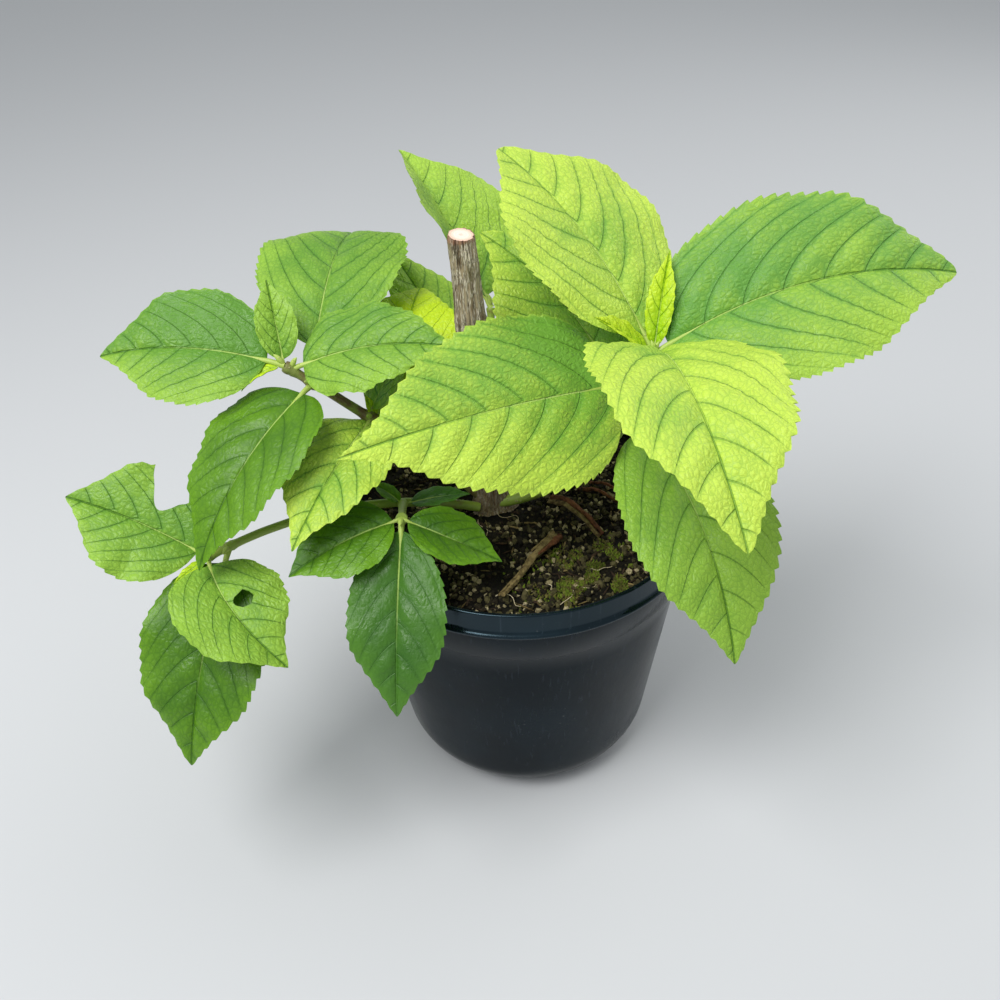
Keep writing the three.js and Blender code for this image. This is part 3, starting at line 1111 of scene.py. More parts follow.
FRESH, LIME, LIGHT, MID, DEEP, DARK = LeafTone
# A leaf's green gives its greenness at base and tip and its slant across. Besides each leaf's own
# tone, some greens hold painted light and painted shade, set to how light falls on that leaf.
LEAVES: dict[str, tuple[str, list[Leaf]]] = {
    "right_young_leaves": ("right", [
        Leaf(1, 70, 72, 28, 4, 42, 0.31, FRESH, (0.6, 0.2, 0.0), fold=22),
        Leaf(1, 202, 46, 10, 4, 36, 0.42, FRESH, (0.6, 0.1, 0.0), roll=20, fold=22),
    ]),
    "right_top_leaves": ("right", [
        Leaf(1, 128, 54, 30, 10, 108, 0.76, LIME, (0.5, 0.3, 0.0), sweep=14, roll=2, widest=0.5,
             fullness=1.2),
        Leaf(1, -91, 40, 84, 6, 138, 0.56, LIME, (0.45, 0.2, 0.1), sweep=14, roll=4, fold=12,
             fullness=1.15),
    ]),
    "right_upper_leaves": ("right", [
        Leaf(1, 6, 36, 50, 8, 134, 0.64, LIGHT, (0.72, 0.5, -0.28), roll=-37, widest=0.42,
             fullness=1.15),
        Leaf(0.88, 208, 13, 12, 18, 134, 0.6, LIME, (0.95, 0.1, 0.4), sweep=4, roll=42, fold=2,
             widest=0.3, fullness=1.45),
    ]),
    "right_lower_leaves": ("right", [
        Leaf(0.72, -64, 0, 64, 12, 116, 0.57, MID, (0.5, 0.0, 0.2), sweep=-14, roll=-6),
        Leaf(0.72, 118, 50, 24, 14, 98, 0.8, LIME, (1.0, 0.3, 0.2), sweep=40, roll=20, widest=0.4,
             fullness=1.3),
    ]),
    "left_young_leaves": ("left", [
        Leaf(1, 105, 66, 20, 3, 35, 0.54, MID, (0.6, 0.1, 0.0), fold=20),
        Leaf(1, 200, 10, 60, 3, 20, 0.5, FRESH, (0.4, 0.1, 0.0), fold=20),
    ]),
    "left_top_leaves": ("left", [
        Leaf(1, 172, 20, 34, 8, 76, 0.74, MID, (1.0, 0.6, 0.5), sweep=4, roll=34),
        Leaf(0.97, -2, 26, 30, 6, 70, 0.66, MID, (0.6, 0.5, -0.2), sweep=-14, roll=-26, fold=12,
             curl=0.07, widest=0.35, fullness=1.2, ruffle=0.024),
    ]),
    "left_middle_leaves": ("left", [
        Leaf(0.88, 80, 50, 74, 16, 100, 0.7, MID, (0.7, 0.55, 0.1), sweep=6, widest=0.5),
        Leaf(0.87, -122, -2, 60, 8, 92, 0.58, DEEP, (0.6, 0.4, 0.0), sweep=-12, widest=0.37,
             fullness=1.2),
    ]),
    "left_lower_leaves": ("left", [
        Leaf(0.6, -106, 12, 48, 3, 78, 0.6, LIME, (0.55, 0.4, 0.0), sweep=-14, roll=4, fold=12,
             curl=0.045, widest=0.34, fullness=1.2, ruffle=0.02),
        # Painted light: this leaf is paler than its tone, to make up for the shade that falls on
        # it.
        Leaf(0.44, 82, 80, 92, 5, 84, 0.56, FRESH, (0.1, -0.3, 0.0), widest=0.5),
    ]),
    "left_small_leaves": ("left", [
        Leaf(0.62, 40, 55, 20, 4, 34, 0.65, LIGHT, (0.6, 0.5, 0.0)),
        Leaf(0.58, 140, 80, 20, 2, 12, 0.42, FRESH, (0.8, 0.6, 0.0)),
        Leaf(0.58, 40, 70, 20, 2, 14, 0.36, FRESH, (0.8, 0.5, 0.0)),
    ]),
    "low_tip_leaves": ("low", [
        Leaf(1, 165, 34, 18, 5, 61, 0.88, MID, (0.6, 0.5, 0.1), sweep=6, roll=32, fold=14,
             ruffle=0.024, bites=(Bite(0.36, 0.98, 0.15, 0.62),)),
        Leaf(1, -74, -4, 36, 5, 61, 0.8, MID, (0.5, 0.2, 0.0), sweep=50, roll=0, fold=12,
             ruffle=0.022, bites=(Bite(0.41, -0.26, 0.078, 0.17),)),
    ]),
    "low_lower_leaves": ("low", [
        Leaf(0.92, -103, -26, 44, 8, 92, 0.61, DEEP, (0.8, 0.6, 0.0), sweep=-12, roll=8),
        Leaf(1, 110, 70, 20, 1, 13, 0.46, FRESH, (0.5, 0.3, 0.0)),
        Leaf(1, 228, 0, 10, 1, 18, 0.33, FRESH, (0.7, 0.4, 0.0)),
    ]),
    "front_tip_leaves": ("front", [
        Leaf(1, -158, 2, 28, 4, 50, 0.74, DEEP, (0.7, 0.6, 0.4), sweep=4, roll=18, fullness=1.5),
        Leaf(1, -16, -16, 12, 3, 44, 0.64, DEEP, (0.8, 0.4, 0.0), sweep=4, roll=-12, fold=12,
             fullness=1.5),
    ]),
    "front_lower_leaf": ("front", [
        Leaf(0.96, -94, -24, 42, 6, 80, 0.53, DARK, (0.7, 0.5, 0.0), sweep=-2, widest=0.46,
             fullness=1.5),
        Leaf(0.14, 150, 40, 30, 2, 16, 0.56, DEEP, (0.5, 0.5, 0.0)),
        Leaf(0.14, 6, 14, 20, 4, 28, 0.5, DARK, (0.6, 0.6, 0.0)),
    ]),
    "back_tip_leaf": ("back", [
        Leaf(1, 132, 56, 20, 6, 81, 0.9, LIGHT, (0.6, 0.1, -0.2), roll=-20, fold=28,
             bites=(Bite(0.62, 0.25, 0.014, 0.03),)),
    ]),
    "back_lower_leaf": ("back", [
        Leaf(0.5, 127, 39, 8, 20, 73, 0.52, LIGHT, (0.4, 0.3, 0.0)),
    ]),
}


@dataclass
class Plant:
    """The leafy shoots: bare stems, and masses of leaves that take the place of the solids."""

    stem_finish: StemFinish = StemFinish("green_stem", (140, 164, 62), (124, 104, 64), 0.35)
    old_stem_finish: StemFinish = StemFinish("old_stem", (128, 140, 66), (104, 82, 56), 0.85)
    stalk_finish: StemFinish = StemFinish("leaf_stalk", (176, 198, 92), (150, 150, 80), 0.0)
    least_browned_when_old: float = 0.5
    least_length_with_bud: float = 60.0

    def shoots(self) -> dict[str, Shoot]:
        """Lists the shoots, with the front one starting where it forks off the low one.

        Returns:
            All the shoots by name.
        """
        fork = SHOOTS["low"].arc().points(np.array([FRONT_FORK]))[0]
        front = Shoot(start=tuple(fork), bare=0.0, browned=0.3, **FRONT_SHOOT)
        return {**SHOOTS, "front": front}

    def build(self) -> None:
        """Builds the stems, and then the leaves pair by pair."""
        shoots = self.shoots()
        self.stems(shoots)
        self.leaves(shoots)

    def stems(self, shoots: dict[str, Shoot]) -> None:
        """Builds each shoot's bare length and the length that carries its leaves.

        Args:
            shoots: all the shoots by name.
        """
        stem, old_stem = self.stem_finish.make(), self.old_stem_finish.make()
        for name, shoot in shoots.items():
            own = [leaves for owner, leaves in LEAVES.values() if owner == name]
            joints = sorted({leaf.at for leaves in own for leaf in leaves})
            skin = old_stem if shoot.browned > self.least_browned_when_old else stem
            if shoot.bare > 0:
                piece = make_object(f"{name}_stem", [shoot.stem(0.0, shoot.bare, joints)], [skin])
                declare(piece, "green_stem", f"{name}_shoot")
            piece = make_object(f"{name}_leafy_stem", [shoot.stem(shoot.bare, 1.0, joints)], [skin])
            declare(piece, f"{name}_leaves", f"{name}_foliage")

    def leaves(self, shoots: dict[str, Shoot]) -> None:
        """Builds the leaves with their stalks and buds, one piece for each row of the table.

        Args:
            shoots: all the shoots by name.
        """
        stalk = self.stalk_finish.make()
        tones = {tone: LeafFinish(tone).make() for tone in LeafTone}
        for name, (owner, leaves) in LEAVES.items():
            arc = shoots[owner].arc()
            worn = list(dict.fromkeys(leaf.tone for leaf in leaves))
            forms: list[Form] = []
            for place, leaf in enumerate(leaves):
                start = arc.points(np.array([leaf.at]))[0]
                grown = [leaf.blade(start, worn.index(leaf.tone)), leaf.ribs(start, len(worn))]
                if leaf.length > self.least_length_with_bud:
                    grown.append(leaf.bud(start, len(worn)))
                self.share_bake_map(grown, place, len(leaves))
                forms.extend(grown)
            piece = make_object(name, forms, [*(tones[tone] for tone in worn), stalk])
            declare(piece, f"{owner}_leaves", f"{owner}_foliage")

    def share_bake_map(self, grown: list[Form], place: int, count: int) -> None:
        """Moves a leaf's part of the bake map into a column of its own, its stalk and bud on top.

        Args:
            grown: the leaf's blade, its stalk and, where it has one, its bud.
            place: which of the piece's leaves it is.
            count: how many leaves the piece has.
        """
        for number, form in enumerate(grown):
            for rows in form.maps[BAKE_MAP]:
                if number > 0:
                    rows[:, :, 1] = 0.945 + 0.02 * (number - 1) + 0.018 * rows[:, :, 1]
                rows[:, :, 0] = (place + 0.02 + 0.96 * rows[:, :, 0]) / count


class RingForm:
    """A round form raised ring by ring from a circle, as on a lathe."""

    def __init__(self, name: str, sides: int, radius: float, height: float) -> None:
        """Starts the form.

        Args:
            name: the piece's name.
            sides: points in each ring.
            radius: the first ring's radius.
            height: the first ring's height.
        """
        bpy.ops.object.select_all(action="DESELECT")
        place = (0, 0, height * MM)
        bpy.ops.mesh.primitive_circle_add(vertices=sides, radius=radius * MM, location=place)
        bpy.ops.object.transform_apply(location=True, rotation=True, scale=True)
        self.piece = bpy.context.active_object
        self.piece.name = self.piece.data.name = name
        self.radius = radius
        self.height = height
        bpy.ops.object.mode_set(mode="EDIT")
        bpy.ops.mesh.select_all(action="SELECT")
        bpy.ops.mesh.select_mode(type="VERT")

    def raise_to(self, radius: float, height: float) -> None:
        """Extrudes the last ring.

        Args:
            radius: the new ring's radius.
            height: its height.
        """
        move = (0, 0, (height - self.height) * MM)
        bpy.ops.mesh.extrude_region_move(TRANSFORM_OT_translate={"value": move})
        grow = radius / self.radius
        bpy.ops.transform.resize(value=(grow, grow, 1), center_override=(0, 0, height * MM))
        self.radius, self.height = radius, height

    def close(self) -> bpy.types.Object:
        """Closes both ends with a pole and leaves edit mode.

        Returns:
            The closed object, with its faces outwards.
        """
        bpy.ops.mesh.merge(type="CENTER")
        bpy.ops.mesh.select_all(action="DESELECT")
        bpy.ops.mesh.select_non_manifold(extend=False)
        bpy.ops.mesh.merge(type="CENTER")
        bpy.ops.mesh.select_all(action="SELECT")
        bpy.ops.mesh.normals_make_consistent(inside=False)
        bpy.ops.object.mode_set(mode="OBJECT")
        return self.piece


def points_of(piece: bpy.types.Object) -> Array:
    """Reads a mesh's points.

    Args:
        piece: the piece.

    Returns:
        Its points in millimetres.
    """
    spots = np.zeros(len(piece.data.vertices) * 3, np.float32)
    piece.data.vertices.foreach_get("co", spots)
    return spots.reshape(-1, 3).astype(float) / MM


def move_points(piece: bpy.types.Object, points: Array) -> None:
    """Puts a mesh's points at new places, given in millimetres."""
    piece.data.vertices.foreach_set("co", (points * MM).astype(np.float32).ravel())
    piece.data.update()


def arc_rows(middle: Span, radius: float, start: float, end: float, count: int) -> list[Span]:
    """Follows a round stretch of a profile.

    Args:
        middle: the radius and height of the round's middle.
        radius: the round's own radius.
        start: the angle at its start, in degrees.
        end: the angle at its end.
        count: how many points it gets.

    Returns:
        Radii and heights.
    """
    turns = np.radians(np.linspace(start, end, count))
    across, up = middle
    return [(across + radius * math.cos(turn), up + radius * math.sin(turn)) for turn in turns]


@dataclass
class Pot:
    """The round nursery pot: foot, stacking step, ridge, collar and drain holes."""

    height: float = 150.0
    rim_radius: float = 85.0
    rim_edge: float = 0.8
    ridge_radius: float = 86.5
    ridge_height: float = 138.0
    ridge_width: float = 2.5
    ridge_drop: float = 3.0
    shoulder_radius: float = 83.0
    step_radius: float = 80.0
    step_height: float = 118.0
    step_depth: float = 1.0
    step_rise: float = 1.5
    base_radius: float = 67.0
    pole_radius: float = 20.0
    corner: float = 24.0
    wall: float = 1.8
    drain_holes: int = 6
    drain_radius: float = 4.0
    drain_circle: float = 34.0
    drain_sides: int = 32
    drill_length: float = 10.0
    sides: int = 144
    finish: PlasticFinish = PlasticFinish()

    def wall_rows(self, inset: float) -> list[Span]:
        """Works out the wall's profile from the foot to the shoulder.

        Args:
            inset: how far the profile lies inside the wall's outer face.

        Returns:
            Radii and heights.
        """
        lean = math.degrees(math.atan2(self.shoulder_radius - self.base_radius, self.ridge_height))
        middle = (self.base_radius - self.corner, self.corner)
        rows = arc_rows(middle, self.corner - inset, -90, -lean, 14)
        low = rows[-1]
        step = self.step_radius - inset
        for share in np.linspace(0, 1, 10)[1:]:
            height = low[1] + (self.step_height - low[1]) * share
            rows.append((low[0] + (step - low[0]) * share, height))
        rows.append((step + 0.25 * self.step_depth, self.step_height + 0.3 * self.step_rise))
        rows.append((step + self.step_depth, self.step_height + self.step_rise))
        rows.append((self.shoulder_radius - inset, self.ridge_height - self.ridge_drop))
        return rows

    def build(self) -> None:
        """Raises the pot ring by ring and cuts its drain holes."""
        ridge = (self.ridge_radius - self.ridge_width / 2, self.ridge_height)
        rim = (self.rim_radius - self.rim_edge, self.height - self.rim_edge)
        rows = [
            *self.wall_rows(0.0),
            (self.shoulder_radius + 1.2, self.ridge_height - self.ridge_width * 0.7),
            *arc_rows(ridge, self.ridge_width / 2, -70, 70, 7),
            (self.rim_radius + 0.1, self.ridge_height + self.ridge_width * 0.75),
            (self.rim_radius - 0.2, self.ridge_height + self.ridge_drop),
            *arc_rows(rim, self.rim_edge, 0, 90, 5),
            (self.rim_radius - self.wall, self.height - 0.1),
            *reversed(self.wall_rows(self.wall)),
            (self.pole_radius, self.wall),
        ]
        form = RingForm("pot_tub", self.sides, self.pole_radius, 0.0)
        for radius, height in rows:
            form.raise_to(radius, height)
        piece = form.close()
        self.cut_drains(piece)
        dress(piece, 35, self.finish.make())
        declare(piece, "pot_plastic", "pot")

    def cut_drains(self, piece: bpy.types.Object) -> None:
        """Cuts the round drain holes through the floor.

        Args:
            piece: the pot.
        """
        turns = 2 * math.pi * (np.arange(self.drain_holes) + 0.5) / self.drain_holes
        for across, away in (round_turn(turns, self.drain_circle) * MM).tolist():
            bpy.ops.mesh.primitive_cylinder_add(
                vertices=self.drain_sides,
                radius=self.drain_radius * MM,
                depth=self.drill_length * MM,
                location=(across, away, 0),
            )
            drill = bpy.context.active_object
            cut = piece.modifiers.new("drain", "BOOLEAN")
            cut.operation = "DIFFERENCE"
            cut.object = drill
            only(piece)
            bpy.ops.object.modifier_apply(modifier=cut.name)
            bpy.data.objects.remove(drill)


@dataclass
class WoodyStem:
    """The old stem: root flare, bark relief, healed bud scars and a pale tilted cut.

    The profile gives radii by shares of the height, and a scar its turn, share and size.
    """

    top: Place = (-20.7, 3.0, 282.5)
    profile: tuple[Span, ...] = (
        (0, 12), (0.03, 10), (0.08, 8.7), (0.2, 8.4), (0.4, 7.7), (0.52, 8), (0.6, 6.9), (0.8, 6.3),
        (0.985, 5.8), (1, 5.5),
    )
    bow: float = 0.6
    cut_tilt: float = 6.0
    scars: tuple[Place, ...] = ((-14.0, 0.7, 1.0), (204.0, 0.71, 0.45), (60.0, 0.42, 0.6))
    sides: int = 96
    rings: int = 150

    def build(self) -> None:
        """Raises the stem ring by ring, then leans it and works its bark."""
        shares, radii = zip(*self.profile)
        form = RingForm("woody_stem", self.sides, radii[0], 0.0)
        for share in np.linspace(0, 1, self.rings)[1:]:
            form.raise_to(float(np.interp(share, shares, radii)), float(share))
        for inset in (0.92, 0.75, 0.5, 0.25):
            form.raise_to(radii[-1] * inset, 1.0)
        piece = form.close()
        move_points(piece, self.shaped(points_of(piece)))
        dress(piece, 60, BarkFinish().make(), CutWoodFinish(self.top[:2], radii[-1]).make())
        for face in piece.data.polygons:
            if face.center.z > (self.top[2] - 2.0) * MM and face.normal.z > 0.8:
                face.material_index = 1
        declare(piece, "bark", "trunk")

    def shaped(self, points: Array) -> Array:
        """Leans the upright form and works the bark's relief into it.

        Args:
            points: the straight form's points, with z as the share of its height.

        Returns:
            The stem's points in place.
        """
        share = points[:, 2]
        turn = np.arctan2(points[:, 1], points[:, 0])
        radius = np.hypot(points[:, 0], points[:, 1])
        tall = self.top[2] - SOIL_HEIGHT
        round_place = round_turn(turn, 4.2) + 20
        coarse, fine, crumbs = (
            smooth_noise(np.column_stack([round_place * finer, share * tall / long]), seed)
            for finer, long, seed in ((1, 26, 11), (2.4, 15, 12), (5, 3, 13))
        )
        crack = -0.6 * clipped(1 - np.abs(coarse) * 6) - 0.45 * clipped(1 - np.abs(fine) * 5)
        relief = crack + 0.3 * coarse + 0.25 * fine + 0.16 * crumbs
        for scar_turn, scar_share, size in self.scars:
            away = np.angle(np.exp(1j * (turn - math.radians(scar_turn))))
            above = (share - scar_share) * tall
            nub = np.exp(-((away / 0.36) ** 2) - ((above / 4.6) ** 2))
            hollow = np.exp(-((away / 0.16) ** 2) - ((above / 2.2) ** 2))
            relief += size * (2.6 * nub - 1.5 * hollow)
        on_side = clipped((radius - 0.93 * np.interp(share, *zip(*self.profile))) / 0.3)
        flare = 1 + 0.12 * np.cos(3 * turn + 0.8) * clipped(1 - share / 0.09)
        foot = np.array([*STEM_FOOT, SOIL_HEIGHT - 0.6])
        centre = foot + (np.array(self.top) - foot) * share[:, None]
        centre[:, 0] -= self.bow * np.sin(np.pi * share)
        out = round_turn(turn, radius * flare + relief * on_side)
        tilt = math.tan(math.radians(self.cut_tilt)) * share * (out[:, 1] - out[:, 0])
        return centre + np.column_stack([out, tilt])


@dataclass
class Soil:
    """The potting soil: a crumbly mound with grit, bark scraps, moss, a stick and bare roots."""

    sides: int = 160
    top_rings: int = 62
    grit_count: int = 5400
    grit_sizes: tuple[float, ...] = (0.7, 1.1, 1.5, 1.9)
    grit_shares: tuple[float, ...] = (0.3, 0.34, 0.24, 0.12)
    scrap_count: int = 420
    moss_count: int = 2600
    moss_middle: Span = (36.0, -55.0)
    moss_spread: Span = (13.0, 9.5)
    root_count: int = 9
    reach: float = 79.0
    stem_room: float = 13.0
    stick: tuple[Place, ...] = (
        (-12.0, -69.0, 146.2), (-2.5, -57.0, 147.4), (4.5, -43.5, 148.4), (16.5, -29.0, 147.0),
    )
    red_root: tuple[Place, ...] = (
        (15.0, 1.0, 145.0), (22.0, -8.0, 150.5), (30.0, -18.0, 150.0), (38.0, -30.0, 145.5),
    )
    red_shred: tuple[Place, ...] = ((28.0, 7.0, 145.5), (38.0, 3.0, 148.0), (48.0, -6.0, 146.0))

    def level(self, away: Array) -> Array:
        """Finds how high the soil's mound is.

        Args:
            away: distances from the pot's middle.

        Returns:
            The height at each distance.
        """
        middle = (SOIL_RADIUS + SOIL_FLAT_RADIUS) / 2
        swell = (SOIL_EDGE_HEIGHT + SOIL_HEIGHT) / 2 + 0.6
        stops = (SOIL_FLAT_RADIUS, middle, SOIL_RADIUS)
        return np.interp(away, stops, (SOIL_HEIGHT, swell, SOIL_EDGE_HEIGHT))

    def surface(self, places: Array) -> Array:
        """Finds how high the lumpy top is. It is calm round the stem and along the pot's wall.

        Args:
            places: places in the pot, two numbers each.

        Returns:
            The height at each place.
        """
        away = np.hypot(places[..., 0], places[..., 1])
        lumps = 1.3 * smooth_noise(places / 9 + 30, 21) + 1.2 * smooth_noise(places / 3.6 + 30, 22)
        lumps = lumps + 0.5 * smooth_noise(places / 1.5 + 70, 23)
        foot = np.hypot(places[..., 0] - STEM_FOOT[0], places[..., 1])
        calm = clipped((foot - 8) / 12) * clipped((SOIL_RADIUS - away) / 4)
        return self.level(away) - 0.6 * calm + lumps * calm

    def build(self) -> None:
        """Builds the mound and everything that lies on it."""
        self.mound()
        self.grit()
        self.moss()
        self.wood()

    def mound(self) -> None:
        """Raises the soil in the pot and makes its top lumpy."""
        pot = Pot()
        inset = pot.wall + 0.3
        form = RingForm("soil_mound", self.sides, pot.pole_radius, inset)
        for radius, height in pot.wall_rows(inset):
            form.raise_to(radius, height)
        for radius in np.linspace(SOIL_RADIUS, 1.2, self.top_rings):
            form.raise_to(float(radius), float(self.level(np.array(radius))))
        piece = form.close()
        points = points_of(piece)
        top = points[:, 2] > SOIL_EDGE_HEIGHT - 0.05
        points[top, 2] = self.surface(points[top, :2])
        move_points(piece, points)
        dress(piece, 80, GritFinish("soil", (9, 8, 5), (27, 24, 14), 420, 0.0022).make())
        declare(piece, "soil", "soil")

    def strewn(self, random: np.random.Generator, count: int, reach: float = 78.0) -> Array:
        """Picks random places on the soil, clear of the woody stem.

        Args:
            random: the source of random numbers.
            count: how many places.
            reach: how far they may lie from the pot's middle.

        Returns:
            The places, two numbers each.
        """
        turn = random.uniform(0, 2 * np.pi, 2 * count)
        places = round_turn(turn, reach * np.sqrt(random.uniform(0, 1, 2 * count)))
        clear = np.hypot(places[:, 0] - STEM_FOOT[0], places[:, 1]) > self.stem_room
        return places[clear][:count]

    def ball(self) -> tuple[Array, Array]:
        """Makes a ball of twenty faces.

        Returns:
            Its points and its faces.
        """
        long = (1 + 5**0.5) / 2
        quarter = [(0, a, b * long) for a in (-1, 1) for b in (-1, 1)]
        ball = np.array([np.roll(spot, turn) for turn in range(3) for spot in quarter], float)
        near = np.linalg.norm(ball[:, None] - ball[None], axis=-1) < 2.1
        trios = itertools.combinations(range(12), 3)
        rows = np.array([trio for trio in trios if near[np.ix_(trio, trio)].all()])
        crossed = np.cross(ball[rows[:, 1]] - ball[rows[:, 0]], ball[rows[:, 2]] - ball[rows[:, 0]])
        inward = (crossed * ball[rows].mean(1)).sum(-1) < 0
        rows[inward] = rows[inward][:, ::-1]
        return unit(ball), rows

    def grit(self) -> None:
        """Strews pale and brown grains over the soil and presses them in."""
        random = np.random.default_rng(SEED)
        forms = []
        ball, rows = self.ball()
        places = self.strewn(random, 2 * self.grit_count)
        # Painted shade: fewer grains lie towards the left, so that more of the dark soil shows
        # there.
        crowd = smooth_noise(places / 14 + 90, 61) + 0.006 * places[:, 0]
        crowd = crowd + random.normal(0, 0.7, len(places))
        for place in places[np.argsort(-crowd)][: self.grit_count]:
            size = float(random.choice(self.grit_sizes, p=self.grit_shares))
            turn = np.linalg.qr(random.normal(size=(3, 3)))[0]
            stretch = random.uniform(0.6, 1.2, 3)
            shape = ball * random.uniform(0.68, 1.2, (12, 1)) * stretch @ turn * size
            height = float(self.surface(place)) + 0.2 * size
            kind = int(random.choice(3, p=(0.15, 0.38, 0.47)))
            forms.append(Form(shape + (*place, height), [rows], {}, kind))
        kinds = (
            ("pale_grit", (118, 108, 76), (168, 156, 120)),
            ("brown_grit", (52, 48, 28), (88, 82, 52)),
            ("dark_grit", (20, 18, 11), (42, 37, 24)),
        )
        finishes = [GritFinish(*kind, 900, 0.0003).make() for kind in kinds]
        declare(make_object("soil_grit", forms, finishes, 12.0), "soil")

    def moss(self) -> None:
        """Grows a loose patch of green moss near the rim at the right."""
        random = np.random.default_rng(SEED + 1)
        forms = []
        while len(forms) < self.moss_count:
            place = random.normal(self.moss_middle, self.moss_spread)
            if np.hypot(*place) > self.reach or smooth_noise(place / 6 + 50, 31) < -0.1:
                continue
            height = float(self.surface(place))
            lean = random.normal(0, 0.7, 2)
            tip = np.array([*(place + lean), height + random.uniform(0.9, 2.0)])
            foot = np.array([*place, height - 0.5])
            path = foot + (tip - foot) * np.linspace(0, 1, 3)[:, None]
            width = random.uniform(0.5, 0.85)
            taper = np.array([width, width * 0.8, 0.05])
            forms.append(free_tube(path, taper, 5, int(random.integers(2))))
        kinds = (("moss", (70, 86, 20), (116, 134, 42)), ("dry_moss", (74, 72, 32), (112, 106, 54)))
        finishes = [GritFinish(*kind, 900, 0.0002).make() for kind in kinds]
        declare(make_object("soil_moss", forms, finishes), "soil")

    def wood(self) -> None:
        """Lays the stick, the bare roots and the small scraps of bark on the soil."""
        random = np.random.default_rng(SEED + 2)
        forms = []
        for number, (stops, shift, *rest) in enumerate(self.pieces_of_wood()):
            forms.append(self.knotty(np.array(stops) + shift, *rest, 41 + number))
        for start, end in self.thread_ends(random):
            forms.append(self.thread(random, start, end))
        for place in self.strewn(random, self.scrap_count):
            turn = random.uniform(0, np.pi)
            half = random.uniform(1.2, 4.5)
            height = float(self.surface(place)) + 0.5
            move = np.array([half * math.cos(turn), half * math.sin(turn), random.normal(0, 0.5)])
            path = np.array([*place, height]) + move * np.linspace(-1, 1, 4)[:, None]
            width = random.uniform(0.25, 0.7)
            taper = np.array([0.4, 1.0, 0.9, 0.3]) * width
            forms.append(free_tube(path, taper, 5, 3 if random.uniform() < 0.7 else 0))
        kinds = (
            ("stick", (58, 46, 24), (140, 122, 78), 380, 0.0008),
            ("red_root", (58, 34, 22), (118, 76, 48), 380, 0.0008),
            ("fine_root", (176, 160, 124), (214, 200, 168), 600, 0.0002),
            ("bark_scrap", (34, 26, 18), (70, 54, 38), 500, 0.0005),
        )
        finishes = [GritFinish(*kind).make() for kind in kinds]
        declare(make_object("soil_roots_and_scraps", forms, finishes), "soil")

    def pieces_of_wood(self) -> tuple[tuple[tuple[Place, ...], Place, float, float, int], ...]:
        """Lists the strands of the split stick, the red root and its shred.

        Returns:
            For each strand its stops, its shift, its radii at both ends and its finish's number.
        """
        return (
            (self.stick, (0.0, 0.0, 0.0), 0.8, 2.0, 0),
            (self.stick[2:], (1.4, -1.2, 0.5), 0.4, 1.7, 1),
            (self.stick[:3], (-1.2, 0.8, -0.1), 0.6, 0.4, 0),
            (self.stick[2:], (-1.5, 1.4, 0.6), 0.4, 1.2, 0),
            (self.red_root, (0.0, 0.0, 0.0), 1.9, 1.1, 1),
            (self.red_root, (-1.6, -1.4, -0.4), 1.3, 0.8, 0),
            (self.red_shred, (0.0, 0.0, 0.0), 1.2, 0.6, 1),
            (self.red_shred, (4.5, 5.0, 0.0), 0.9, 0.5, 1),
        )

    def knotty(self, stops: Array, thick: float, thin: float, finish: int, seed: int) -> Form:
        """Builds a piece of wood with knots and cracks in its skin.

        Args:
            stops: places that it runs through.
            thick: its radius at the first stop.
            thin: its radius at the last.
            finish: the number of its finish.
            seed: which random fields its skin follows.

        Returns:
            The piece of wood.
        """
        share = np.linspace(0, 1, 60)
        knots = np.linspace(0, 1, len(stops))
        smooth = np.ones(15) / 15
        axes = (np.interp(share, knots, stops[:, axis]) for axis in range(3))
        padded = (np.pad(axis, 7, mode="edge") for axis in axes)
        path = beside(*(np.convolve(axis, smooth, mode="valid") for axis in padded))
        turn = np.linspace(0, 6, 14, endpoint=False)
        places = beside(*np.meshgrid(share * 8, turn, indexing="ij"))
        skin = 1 + 0.34 * smooth_noise(places, seed) + 0.22 * smooth_noise(places * 3, seed + 5)
        radius = (thick + (thin - thick) * share)[:, None] * skin
        radius[[0, -1]] *= 0.6
        return free_tube(path, radius, 14, finish)

    def thread_ends(self, random: np.random.Generator) -> list[tuple[Array, Array]]:
        """Picks the places of the fine roots: those that show best, then some at random.

        Args:
            random: the source of random numbers.

        Returns:
            The two ends of each root.
        """
        seen = (
            ((-20, -4), (-17, -25)), ((-15, -5), (-2, -19)),
            ((-46, 12), (-50, -7)), ((14, -71), (33, -56)),
        )
        ends = [(np.array(start, float), np.array(end, float)) for start, end in seen]
        for place in self.strewn(random, self.root_count, 66.0):
            turn = random.uniform(0, 2 * np.pi)
            ends.append((place, place + round_turn(turn, random.uniform(8, 20))))
        return ends

    def thread(self, random: np.random.Generator, start: Array, end: Array) -> Form:
        """Builds one fine root that wanders over the soil between two places.

        Args:
            random: the source of random numbers.
            start: where it starts.
            end: where it ends.

        Returns:
            The root.
        """
        share = np.linspace(0, 1, 26)
        path = start + (end - start) * share[:, None]
        across = np.array([start[1] - end[1], end[0] - start[0]])
        long = np.linalg.norm(across)
        bend = random.normal(0, (0.09, 0.06, 0.04, 0.03, 0.03))
        wander = sum(size * np.sin((part + 1) * np.pi * share) for part, size in enumerate(bend))
        path = path + across * wander[:, None]
        lift = 0.45 + random.uniform(0.3, 1.6) * np.sin(np.pi * share) * min(1.0, long / 18)
        away = np.hypot(path[:, 0], path[:, 1])
        path = path * np.minimum(1, self.reach / np.maximum(away, 1e-6))[:, None]
        height = self.surface(path) + lift
        width = random.uniform(0.16, 0.28)
        return free_tube(np.column_stack([path, height]), width * (1 - 0.6 * share), 6, 2)


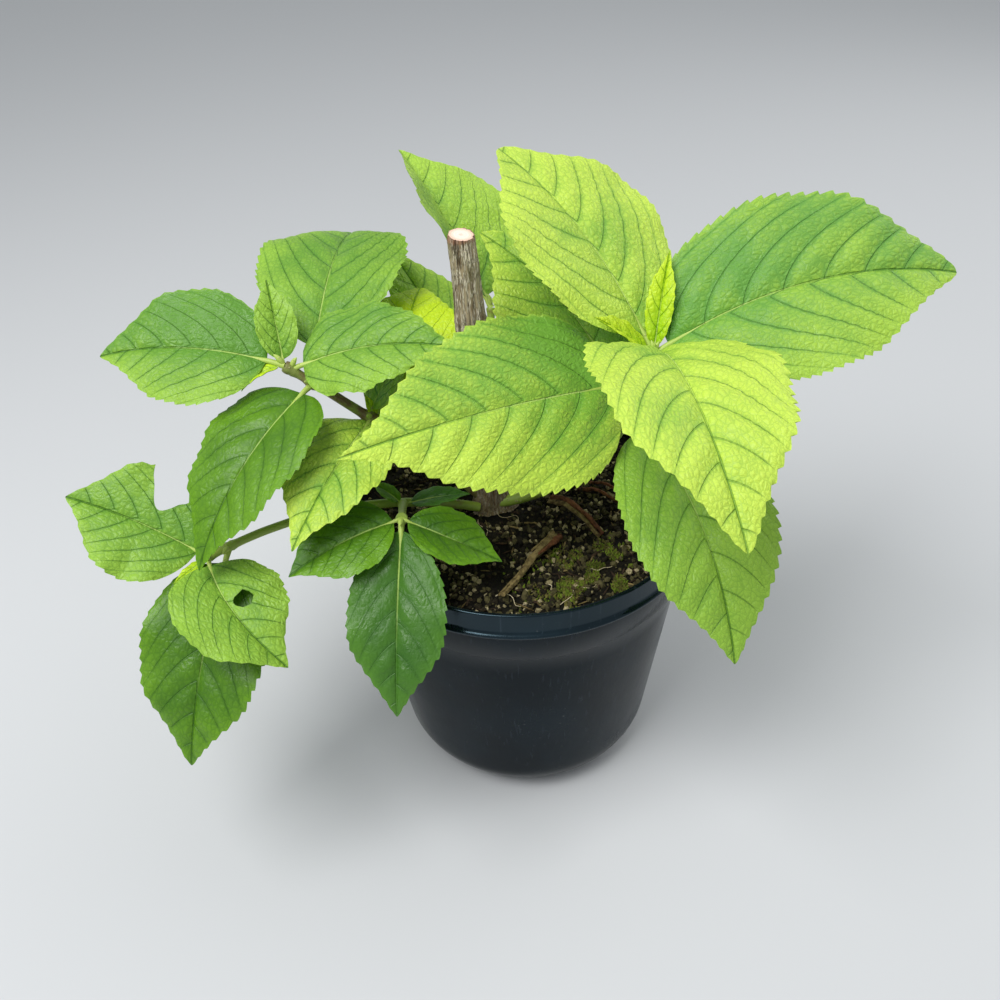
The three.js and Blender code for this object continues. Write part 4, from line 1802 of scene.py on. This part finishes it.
@dataclass
class Studio:
    """A pale floor, soft light and a camera at the photograph's viewing angle.

    The camera's place is in millimetres, and the floor and lamps are in metres. A lamp has a
    name, a place, a width and a power in watts.
    """

    camera_place: Place = (-9.9, -386.0, 448.0)
    look_down: float = 38.0
    roll: float = -2.7
    focal_length: float = 36.0
    sensor_width: float = 36.0
    nearest_sight: float = 0.01
    floor_size: float = 6.0
    floor_colour: Tint = (0.62, 0.63, 0.64, 1.0)
    sky_colour: Tint = (0.93, 0.97, 1.0, 1.0)
    sky_strength: float = 0.5
    lit_place: Place = (0.0, 0.0, 0.15)
    lamps: tuple[tuple[str, Place, float, float], ...] = (
        ("key_light", (-0.5, -0.45, 1.3), 0.8, 16.0),
        ("fill_light", (0.9, 0.5, 1.0), 1.2, 5.0),
    )

    def build(self) -> None:
        """Builds the floor, the lights and the camera."""
        self.floor()
        self.lights()
        self.camera()

    def floor(self) -> None:
        """Lays the pale floor that the pot stands on."""
        bpy.ops.object.select_all(action="DESELECT")
        bpy.ops.mesh.primitive_plane_add(size=self.floor_size, location=(0, 0, 0))
        floor = bpy.context.active_object
        floor.name = "studio_floor"
        graph = Graph("studio_floor", (0, 0, 0), 0.9, 0.2)
        graph.colour = self.floor_colour
        floor.data.materials.append(graph.finish(0.0))

    def lights(self) -> None:
        """Sets a pale sky and hangs the soft square lamps, which face the plant."""
        scene = bpy.context.scene
        scene.view_settings.view_transform = "Standard"
        scene.view_settings.look = "None"
        scene.world = bpy.data.worlds.new("studio_sky")
        scene.world.use_nodes = True
        sky = scene.world.node_tree.nodes["Background"]
        sky.inputs["Color"].default_value = self.sky_colour
        sky.inputs["Strength"].default_value = self.sky_strength
        for name, place, width, power in self.lamps:
            data = bpy.data.lights.new(name, "AREA")
            data.size = width
            data.energy = power
            lamp = bpy.data.objects.new(name, data)
            lamp.location = place
            aim = Vector(self.lit_place) - Vector(place)
            lamp.rotation_euler = aim.to_track_quat("-Z", "Y").to_euler()
            scene.collection.objects.link(lamp)

    def camera(self) -> None:
        """Sets up the camera."""
        down = math.radians(self.look_down)
        turn = math.radians(self.roll)
        forward = Vector((0, math.cos(down), -math.sin(down)))
        right = Vector((1, 0, 0))
        above = right.cross(forward)
        across = right * math.cos(turn) + above * math.sin(turn)
        upward = above * math.cos(turn) - right * math.sin(turn)
        data = bpy.data.cameras.new("camera")
        data.sensor_width = self.sensor_width
        data.lens = self.focal_length
        data.clip_start = self.nearest_sight
        camera = bpy.data.objects.new("camera", data)
        facing = Matrix((across, upward, -forward)).transposed().to_4x4()
        camera.matrix_world = Matrix.Translation(Vector(self.camera_place) * MM) @ facing
        bpy.context.scene.collection.objects.link(camera)
        bpy.context.scene.camera = camera


def main() -> None:
    """Builds the plant, its pot and soil, and the studio round them."""
    logging.basicConfig(level=logging.INFO, format="%(name)s: %(message)s")
    Studio().build()
    Pot().build()
    Soil().build()
    WoodyStem().build()
    Plant().build()


if __name__ == "__main__":
    main()
